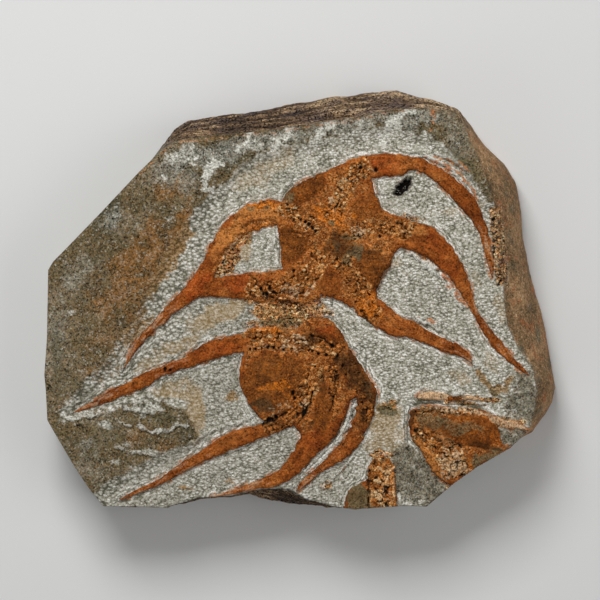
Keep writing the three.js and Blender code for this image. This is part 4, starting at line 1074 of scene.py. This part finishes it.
def build_slab():
    """The block: its outline's rings joined to one closed mesh, made finer, and given its relief."""
    rings = [outline_at(level) for level in range(len(LEVELS))][::-1]
    count = len(rings[0])
    points = [(x, y, z) for ring, z in zip(rings, LEVELS[::-1]) for x, y in ring]
    last = (len(rings) - 1) * count
    faces = []
    for k in range(0, last, count):
        for i in range(count):
            j = (i + 1) % count
            faces.append((k + i, k + j, k + count + j, k + count + i))
    faces += [tuple(range(count))[::-1], tuple(range(last, last + count))]
    obj = new_object("stone_slab_looks", new_mesh("slab", points, faces))
    mesh = apply_modifier(obj, "REMESH", mode="VOXEL", voxel_size=SLAB_VOXEL, adaptivity=0.0)

    co, normal, kinds, run, face = survey(mesh)
    x, y, z = co.T
    flat = np.hypot(normal[:, 0], normal[:, 1])
    up = ramp(normal[:, 2], 0.35, 0.9) * ramp(z, TOP - 2, TOP - 0.6)
    plain = TOP - (TOP - FLOOR) * ramp(inside(x, y, CARVED), -0.6, 3)
    level = face["z"] * up + plain * (1 - up)
    warped = np.where(z > BEND, BEND + (z - BEND) * (level - BEND) / (TOP - BEND), z)
    wall = ramp(flat, 0.3, 0.8)
    relief = side_relief(run, z, kinds) * wall * (0.25 + 0.75 * ramp(TOP - z, 0, 2.5))
    under = ramp(-normal[:, 2], 0.5, 0.95)
    co[:, :2] += normal[:, :2] / np.maximum(flat, 1e-6)[:, None] * relief[:, None]
    hollow = 0.55 + 0.5 * cloud(x, y, 16, 61, 5) + 0.1 * cloud(x, y, 1.5, 62, 3)
    co[:, 2] = warped + under * np.clip(hollow, 0, 2)
    mesh.vertices.foreach_set("co", np.asarray(co, np.float32).ravel())
    mesh.update()
    ratio = SLAB_TRIANGLES / (2.0 * len(mesh.polygons))
    mesh = apply_modifier(obj, "DECIMATE", ratio=min(1.0, ratio))

    co, normal, kinds, run, face = survey(mesh)
    x, y, z = co.T
    top = ramp(normal[:, 2], 0.1, 0.5) * ramp(inside(x, y, RIM) + 0.25 * noise(x, y, 1.2, 63), -0.5, 0.1)
    top = np.maximum(top, face["lost"]) * ramp(z, TOP - 4.2, TOP - 3.4)
    paler = 0.24 * ramp(x, -8, 14) * ramp(y, 0, 20)
    dress(mesh, {
        **{mask: face[mask] for mask in FACE_MASKS}, "top": top, "broken": kinds["broken"],
        "weathered": kinds["weathered"], "streak": 0.5 + 0.5 * ledges(run, z) + paler - 0.04,
    })
    return obj


def build_star(name):
    """A star as one closed mesh: its surface over a grid, walls down its outline and a flat underside."""
    star = STARS[name]
    reach = np.array([corner[:2] for arm in star["arms"] for corner in arm] + list(star["disc"] or []))
    low, high = reach.min(0) - 4, reach.max(0) + 4
    X, Y = np.meshgrid(np.arange(low[0], high[0], STAR_STEP), np.arange(low[1], high[1], STAR_STEP))
    x, y = X.ravel(), Y.ravel()
    fields = star_fields(x, y, name)
    keep = ((fields["edge"] > -0.25) & (inside(x, y, RIM) > -0.05)).reshape(X.shape)
    cell = keep[:-1, :-1] & keep[1:, :-1] & keep[1:, 1:] & keep[:-1, 1:]
    number = np.arange(x.size).reshape(X.shape)
    quads = np.stack([number[:-1, :-1], number[:-1, 1:], number[1:, 1:], number[1:, :-1]], -1)[cell]
    used, quads = np.unique(quads, return_inverse=True)
    quads = quads.reshape(-1, 4)
    points = np.stack([x, y, fields["z"]], -1)[used]
    # The boundary's edges, each as the quad runs along it.
    edges = np.concatenate([quads[:, [k, (k + 1) % 4]] for k in range(4)])
    key = edges[:, 0] * len(used) + edges[:, 1]
    back = edges[:, 1] * len(used) + edges[:, 0]
    border = edges[~np.isin(key, back)]
    rim = np.unique(border)
    under = np.full(len(used), -1)
    under[rim] = len(used) + np.arange(len(rim))
    low_points = points[rim].copy()
    low_points[:, 2] = FLOOR - SEAT - 0.1
    walls = np.stack([border[:, 1], border[:, 0], under[border[:, 0]], under[border[:, 1]]], -1)
    faces = np.concatenate([quads, walls]).tolist()
    mesh = new_mesh(name + "_looks", np.vstack([points, low_points]), faces)
    work = bmesh.new()
    work.from_mesh(mesh)
    loose = [edge for edge in work.edges if len(edge.link_faces) == 1]
    bmesh.ops.triangle_fill(work, edges=loose, use_beauty=False)
    bmesh.ops.recalc_face_normals(work, faces=work.faces)
    work.to_mesh(mesh)
    work.free()
    spare = len(mesh.vertices) - len(used)
    dress(mesh, {mask: np.pad(fields[mask][used], (0, spare)) for mask in STAR_MASKS})
    return new_object(name + "_looks", mesh)


# ---- materials -----------------------------------------------------------------------------------
# A colour is given as it looks on a screen: red, green and blue from 0 to 255.


def linear(colour):
    """A colour, if it is one, as the values that a shader takes."""
    if not isinstance(colour, tuple):
        return colour
    return (*(((v / 255 + 0.055) / 1.055) ** 2.4 if v > 10 else v / 255 / 12.92 for v in colour), 1.0)


class Paint:
    """A node material, put together one step at a time."""

    def __init__(self, name, roughness):
        self.material = bpy.data.materials.new(name)
        self.material.use_nodes = True
        self.tree = self.material.node_tree
        self.shader = self.tree.nodes["Principled BSDF"].inputs
        self.shader["Roughness"].default_value = roughness
        self.shader["Specular IOR Level"].default_value = 0.12
        self.place = self.node("TexCoord", {})["Object"]

    def put(self, socket, value):
        if isinstance(value, bpy.types.NodeSocket):
            self.tree.links.new(value, socket)
        else:
            socket.default_value = value

    def node(self, kind, inputs, **settings):
        """Adds a node and gives its outputs."""
        node = self.tree.nodes.new("ShaderNode" + kind)
        for key, value in settings.items():
            setattr(node, key, value)
        for key, value in inputs.items():
            self.put(node.inputs[key], value)
        return node.outputs

    def mask(self, name):
        return self.node("Attribute", {}, attribute_name=name)["Fac"]

    def math(self, operation, *values):
        return self.node("Math", dict(enumerate(values)), operation=operation)[0]

    def times(self, a, b):
        return self.math("MULTIPLY", a, b)

    def total(self, start, *parts):
        """A start plus values times their factors."""
        for value, factor in parts:
            start = self.math("MULTIPLY_ADD", value, factor, start)
        return start

    def swing(self, *parts, middle=1.0):
        """A factor about its middle from noises and how strongly each swings it."""
        return self.total(middle - 0.5 * sum(strength for _, strength in parts), *parts)

    def blend(self, share, a, b):
        """From number a to number b."""
        return self.math("MULTIPLY_ADD", self.math("SUBTRACT", b, a), share, a)

    def stretch(self, value, low, high):
        """0 at low and 1 at high."""
        return self.node("MapRange", {"Value": value, "From Min": low, "From Max": high})["Result"]

    def torn(self, mask, value, strength, low=0.3, high=0.7):
        """A mask whose edge is torn by a noise."""
        half = 0.5 * strength
        return self.stretch(self.total(self.mask(mask), (value, strength)), low + half, high + half)

    def moved(self, place, location, stretch=(1, 1, 1), turn=0.0):
        rotation = (0, 0, math.radians(turn))
        inputs = {"Vector": place, "Location": location, "Scale": stretch, "Rotation": rotation}
        return self.node("Mapping", inputs)[0]

    def noise(self, size, detail, rough, shift=0.0, stretch=(1, 1, 1)):
        """Noise from 0 to 1 whose lumps are about size millimetres across."""
        place = self.moved(self.place, (shift, shift * 0.7, -shift), stretch)
        inputs = {"Vector": place, "Scale": 1 / (size * MM * 2), "Detail": detail, "Roughness": rough}
        return self.node("TexNoise", inputs)["Fac"]

    def parts(self, colour):
        return self.node("SeparateColor", {0: colour})

    def grains(self, size, shift=0.0):
        """Three random numbers from 0 to 1 for each of the grains, size millimetres across."""
        place = self.moved(self.place, (shift, -shift, shift))
        cell = self.node("TexVoronoi", {"Vector": place, "Scale": 1 / (size * MM)})
        return tuple(self.parts(cell["Color"]))

    def bent(self, scale, warp):
        """The place, bent by a noise twice as coarse as the pellets at that scale."""
        blot = self.node("TexNoise", {"Vector": self.place, "Scale": 0.5 * scale})["Color"]
        inputs = {0: blot, 1: (2 * warp / scale,) * 3, 2: self.place}
        return self.node("VectorMath", inputs, operation="MULTIPLY_ADD")[0]

    def pellets(self, scale, place, stretch=(1, 1, 1), turn=0.0, shift=0.0):
        """Pellets: 0 in the gaps to 1 in their middles, and a number for each."""
        place = self.moved(place, (shift, shift, 0), stretch, turn)
        outputs = self.node("TexVoronoi", {"Vector": place, "Scale": scale}, voronoi_dimensions="2D")
        return self.stretch(outputs["Distance"], 0.62, 0.14), self.parts(outputs["Color"])[0]

    def bent_pellets(self, size, warp, *form):
        """Pellets about size millimetres apart."""
        scale = 1 / (size * MM)
        return self.pellets(scale, self.bent(scale, warp), *form)

    def scale(self, colour, factor):
        colour = linear(colour)
        inputs = {0: colour[:3] if isinstance(colour, tuple) else colour, "Scale": factor}
        return self.node("VectorMath", inputs, operation="SCALE")[0]

    def mix(self, share, a, b):
        return self.node("Mix", {0: share, 6: linear(a), 7: linear(b)}, data_type="RGBA")[2]

    def varied(self, colour, *parts):
        """A colour made darker and brighter by noises."""
        return self.scale(colour, self.swing(*parts))

    def cover(self, colour, *layers):
        """Lays each paint over a colour where its torn mask is on."""
        for paint, amount, *tear in layers:
            colour = self.mix(self.times(self.torn(*tear), amount), colour, paint)
        return colour

    def fleck(self, colour, *layers):
        """Lays each paint over a colour where its value passes from the low limit to the high one."""
        for paint, amount, *limits in layers:
            colour = self.mix(self.times(self.stretch(*limits), amount), colour, paint)
        return colour

    def shades(self, value, *stops):
        """A colour that runs through the given ones as the value goes from 0 to 1."""
        outputs = self.node("ValToRGB", {"Fac": value})
        elements = outputs[0].node.color_ramp.elements
        for k, (at, colour) in enumerate(stops):
            element = elements[k] if k < 2 else elements.new(at)
            element.position = at
            element.color = linear(colour)
        return outputs["Color"]

    def finish(self, colour, grit, depth, extra=None):
        """Sets the colour and a bump of depth millimetres."""
        height = self.total(0.0, (self.noise(0.12, 2.0, 0.7), 0.35), (grit, 0.65))
        if extra:
            height = self.total(height, (extra, 1.0))
        self.put(self.shader["Base Color"], colour)
        bump = self.node("Bump", {"Strength": 1.0, "Distance": depth * MM, "Height": height})
        self.put(self.shader["Normal"], bump["Normal"])
        return self.material


def stone_material():
    p = Paint("silty_sandstone", 0.92)
    grain, second, third = p.grains(0.32)
    grit = p.noise(0.2, 3.0, 0.75, 3.1)
    fine = p.noise(0.6, 4.0, 0.7, 6.3)
    mottle = p.noise(1.8, 4.0, 0.65, 8.1)
    patch = p.noise(5.0, 4.0, 0.6, 1.7)
    wide = p.noise(13.0, 3.0, 0.5, 5.3)
    ragged = p.blend(0.5, grit, fine)
    cool = p.mask("cool")

    # The uncut bedding surface: olive grey, rusty in places, with pale, dark and orange grains.
    tone = p.blend(0.5, wide, patch)
    plain = p.shades(tone, (0.38, (84, 80, 60)), (0.5, (108, 94, 66)), (0.62, (126, 114, 90)))
    rusty = p.shades(mottle, (0.36, (98, 72, 36)), (0.5, (128, 88, 42)), (0.66, (154, 104, 52)))
    old = p.cover(
        plain, (rusty, 0.9, "rust", mottle, 1.8, 0.1, 0.9),
        ((130, 129, 116), 0.9, "cool", mottle, 1.8, 0.1, 0.8),
    )
    old = p.fleck(old, ((134, 126, 106), 0.4, mottle, 0.54, 0.68))
    old = p.mix(p.mask("smooth"), old, p.shades(fine, (0.36, (106, 102, 86)), (0.62, (130, 125, 108))))
    old = p.fleck(old, ((150, 104, 58), 0.35, second, 0.6, 1.0), ((96, 98, 84), 0.35, third, 0.7, 1.0))
    cool_grit = p.blend(cool, 0.5, grit)
    old = p.varied(old, (grain, 1.1), (cool_grit, 2.0), (grit, 3.2), (fine, 1.6), (mottle, 0.8))
    old = p.scale(old, p.total(0.96, (p.stretch(second, 0.9, 0.97), -0.25)))
    glints = p.times(p.stretch(third, 0.84, 0.97), p.stretch(fine, 0.42, 0.58))
    cool_glints = p.times(p.stretch(third, 0.6, 0.9), p.stretch(fine, 0.38, 0.58))
    old = p.mix(p.times(p.total(glints, (cool_glints, cool)), 0.5), old, (212, 208, 196))

    # The carved floor: pale pellets, coarser to the left, and strokes along the arms. Their middles are pale
    # and their gaps dark: partly the stone's crushed colour, partly painted highlight and shade of their
    # relief.
    share, combed = p.mask("fine"), p.mask("combed")
    slow = p.stretch(p.noise(5.0, 1.0, 0.5, 4.4), 0.42, 0.58)
    left = p.bent_pellets(SHOWN_PELLET, 0.35, (0.8, 1.15, 1), 40)
    flat = p.bent_pellets(SHOWN_FLAKE, 0.45, (0.75, 1.15, 1), -25)
    steep = p.bent_pellets(SHOWN_FLAKE, 0.45, (0.75, 1.15, 1), 50, 0.3)
    u = p.total(p.times(mottle, 2.0), (p.mask("run"), 0.55))
    v = p.total(p.times(fine, 2.4), (p.mask("near"), 1.7))
    strokes = p.pellets(1.0, p.node("CombineXYZ", {0: u, 1: v})[0])
    dot, pick = (
        p.blend(combed, p.blend(share, a, p.blend(slow, b, c)), d)
        for a, b, c, d in zip(left, flat, steep, strokes)
    )
    tone = p.swing((grit, 1.1), (mottle, 0.4), (grain, 0.24), (fine, 0.4), middle=-0.045)
    contrast = p.blend(combed, p.blend(share, 0.48, 0.34), 0.6)
    # Paler in the pellets' middles and darker in their gaps: partly painted highlight and shade.
    tone = p.total(tone, (dot, contrast), (pick, 0.24), (share, 0.085), (combed, -0.03))
    carved = p.shades(
        tone, (0.02, (94, 92, 78)), (0.2, (142, 138, 122)), (0.42, (184, 180, 166)), (0.76, (246, 244, 238)),
    )
    carved = p.scale(carved, p.total(1.06, (p.mask("lit"), 0.17)))
    tan = p.total(p.torn("stain", fine, 1.4, 0.2, 0.9), (p.stretch(mottle, 0.58, 0.74), 0.2))
    carved = p.mix(p.times(tan, 0.75), carved, p.scale(p.mix(0.5, carved, (196, 150, 72)), 0.92))
    rust = p.varied((150, 114, 64), (grit, 3.0), (grain, 0.8), (dot, 0.5))
    carved = p.cover(carved, (rust, 0.85, "rust", fine, 2.2))

    face = p.mix(p.torn("prepared", fine, 1.4, 0.25, 0.8), old, carved)
    bits = p.swing((fine, 0.7), middle=0.0)
    bits = p.shades(
        p.total(bits, (p.mask("number"), 0.6), (flat[1], 0.4)), (0.12, (58, 34, 14)), (0.28, (150, 82, 32)),
        (0.44, (142, 122, 78)), (0.6, (188, 116, 46)), (0.82, (214, 188, 140)),
    )
    bits = p.varied(bits, (grit, 4.6), (grain, 2.0), (fine, 1.6))
    face = p.mix(p.times(p.mask("debris"), 0.92), face, bits)
    white = p.varied((228, 226, 216), (grain, 0.5), (grit, 1.0))
    # Dark olive grey, used both for the stone's own patches and for painted shadow beside the ridges and in
    # gaps.
    moss = p.varied((86, 80, 54), (grit, 3.6), (grain, 1.2))
    chips = p.varied(p.shades(grit, (0.4, (164, 82, 34)), (0.6, (212, 146, 92))), (grain, 0.5))
    face = p.cover(
        face, (white, 0.85, "white", ragged, 3.0, 0.3, 0.95), (moss, 0.8, "moss", ragged, 3.2),
        (chips, 0.85, "warm", ragged, 2.4, 0.4, 0.8),
    )
    # Painted shade: near black in the pit, in the lost arm's holes and gaps and in the cracks of the debris.
    dark = p.total(1.0, (p.stretch(third, 0.85, 0.95), -0.5))
    face = p.mix(p.times(p.mask("dark"), dark), face, (16, 11, 8))

    # The sides: layered where broken, rounded and tan where weathered, grey where sawn.
    beds = p.noise(0.8, 4.0, 0.7, 2.9, (0.3, 0.3, 1.3))
    layered = p.shades(
        p.total(0.0, (p.mask("streak"), 0.55), (beds, 0.5)), (0.34, (36, 27, 21)), (0.48, (72, 58, 46)),
        (0.6, (106, 84, 62)), (0.74, (162, 138, 108)),
    )
    layered = p.fleck(layered, ((84, 75, 74), 0.5, patch, 0.5, 0.62))
    layered = p.varied(layered, (grain, 2.2), (grit, 5.0), (fine, 2.2))
    weathered = p.shades(
        p.blend(0.5, patch, fine), (0.38, (120, 100, 72)), (0.5, (148, 116, 82)), (0.62, (168, 134, 98)),
    )
    weathered = p.fleck(
        weathered, ((174, 106, 66), 0.7, mottle, 0.54, 0.66), ((98, 98, 82), 0.7, mottle, 0.44, 0.32),
        ((206, 176, 140), 0.5, third, 0.93, 0.97),
    )
    weathered = p.varied(weathered, (grain, 0.7), (grit, 2.4), (fine, 1.2), (patch, 1.2))
    sawn = p.shades(fine, (0.3, (96, 92, 78)), (0.55, (124, 119, 102)), (0.75, (142, 136, 118)))
    sawn = p.varied(sawn, (grain, 0.3), (grit, 1.2))
    sides = p.mix(p.mask("weathered"), p.mix(p.mask("broken"), sawn, layered), weathered)
    pellet = p.times(p.times(dot, p.mask("prepared")), p.times(p.mask("top"), 0.8))
    return p.finish(p.mix(p.mask("top"), sides, face), grit, 0.22, pellet)


def fossil_material():
    p = Paint("iron_stained_cast", 0.85)
    grain, second, third = p.grains(0.3, 1.3)
    grit = p.noise(0.2, 3.0, 0.75, 2.2)
    fine = p.noise(0.6, 4.0, 0.7, 5.5)
    patch = p.noise(1.8, 4.0, 0.65, 4.7)
    wide = p.noise(9.0, 2.0, 0.5, 9.4)
    tone = p.blend(0.35, patch, wide)
    arm = p.shades(tone, (0.36, (108, 52, 14)), (0.5, (144, 76, 26)), (0.62, (172, 102, 46)))
    dome = p.shades(tone, (0.36, (84, 46, 14)), (0.5, (116, 65, 22)), (0.64, (144, 86, 36)))
    colour = p.cover(
        arm, (dome, 1.0, "brown", fine, 0.8, 0.1, 0.8), ((156, 62, 18), 0.6, "red", fine, 1.0, 0.2, 0.9),
        ((190, 122, 60), 0.8, "tan", fine, 0.8, 0.1, 0.8),
    )
    grained = p.total(0.03, (p.mask("brown"), 0.42))
    colour = p.fleck(
        colour, ((206, 110, 30), grained, third, 0.8, 0.92), ((58, 36, 14), grained, second, 0.8, 0.92),
    )

    # The rows and heaps of plates.
    plated, streak = p.mask("plated"), p.mask("streak")
    flake, pick = p.bent_pellets(0.44, 0.8, (0.7, 1.1, 1), 30)
    tone = p.total(-0.17, (fine, 0.5), (patch, 0.5), (pick, 0.5))
    tone = p.blend(p.total(0.55, (plated, -0.3)), p.mask("number"), tone)
    plates = p.shades(
        tone, (0.12, (84, 44, 16)), (0.34, (146, 86, 34)), (0.56, (180, 112, 52)), (0.8, (198, 148, 92)),
        (1.0, (234, 208, 164)),
    )
    plates = p.fleck(
        plates, ((56, 28, 10), p.total(0.45, (plated, -0.35)), flake, 0.3, 0.0),
        ((124, 108, 74), 0.45, second, 0.8, 0.9), ((206, 126, 52), 0.4, third, 0.84, 0.92),
    )
    plates = p.varied(plates, (grain, 0.5), (grit, 1.4))
    colour = p.mix(p.times(p.mask("loose"), 0.85), colour, plates)

    # Stains and dust, then the painted shade of the gaps, holes and cracks.
    colour = p.cover(
        colour, ((222, 122, 24), 0.75, "bright", p.blend(0.5, grit, pick), 1.2, 0.35, 1.05),
        ((112, 106, 76), 0.75, "green", grit, 2.0, 0.35, 0.85),
        ((62, 38, 14), 0.75, "dark", grit, 2.0, 0.3, 0.9),
        ((208, 176, 138), 0.8, "pale", pick, 1.0, 0.5, 1.0),
    )
    colour = p.varied(colour, (grain, 0.9), (grit, 2.8), (fine, 0.7), (streak, 0.9))
    dust = p.varied((184, 166, 138), (grain, 0.5), (grit, 1.6))
    colour = p.cover(colour, (dust, 0.75, "dusty", p.blend(0.4, streak, grit), 1.8, 0.4, 1.0))
    # Painted shade: dark brown in the gaps between plates and the rubble's cracks, near black in the holes
    # and cracks.
    colour = p.mix(p.times(p.mask("crevice"), 0.72), colour, (36, 20, 8))
    colour = p.mix(p.mask("black"), colour, (12, 8, 5))
    return p.finish(colour, grit, 0.18)


# ---- putting it together -------------------------------------------------------------------------

slab = build_slab()
slab.data.materials.clear()
slab.data.materials.append(stone_material())
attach(slab, "root")
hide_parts("stone_slab")

fossil = fossil_material()
for name in STARS:
    piece = build_star(name)
    piece.data.materials.append(fossil)
    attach(piece, "root")
    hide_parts(name)

# ---- floor, light and camera ---------------------------------------------------------------------

corners = [(x * FLOOR_HALF, y * FLOOR_HALF, 0) for x, y in ((-1, -1), (1, -1), (1, 1), (-1, 1))]
floor = new_object("floor", new_mesh("floor", corners, [(0, 1, 2, 3)]))
pale = bpy.data.materials.new("pale_floor")
pale.use_nodes = True
shader = pale.node_tree.nodes["Principled BSDF"].inputs
shader["Base Color"].default_value = FLOOR_GREY
shader["Roughness"].default_value = 0.9
floor.data.materials.append(pale)

for name, (place, size, power) in LAMPS.items():
    lamp = bpy.data.lights.new(name, "AREA")
    lamp.shape = "SQUARE"
    lamp.size = size
    lamp.energy = power
    light = linked(bpy.data.objects.new(name, lamp))
    light.location = place
    light.rotation_euler = (Vector(AIM) - Vector(place)).to_track_quat("-Z", "Y").to_euler()

world = bpy.data.worlds.new("studio")
world.use_nodes = True
background = world.node_tree.nodes["Background"].inputs
background["Color"].default_value = (1, 1, 1, 1)
background["Strength"].default_value = SKY
bpy.context.scene.world = world
bpy.context.scene.view_settings.view_transform = "Standard"

# The camera looks straight down through a long lens.
optics = bpy.data.cameras.new("camera")
optics.lens = LENS
optics.sensor_width = SENSOR
camera = linked(bpy.data.objects.new("camera", optics))
distance = VIEW_WIDTH * LENS / SENSOR
camera.location = (LOOK_AT[0] * MM, LOOK_AT[1] * MM, (TOP + distance) * MM)
bpy.context.scene.camera = camera
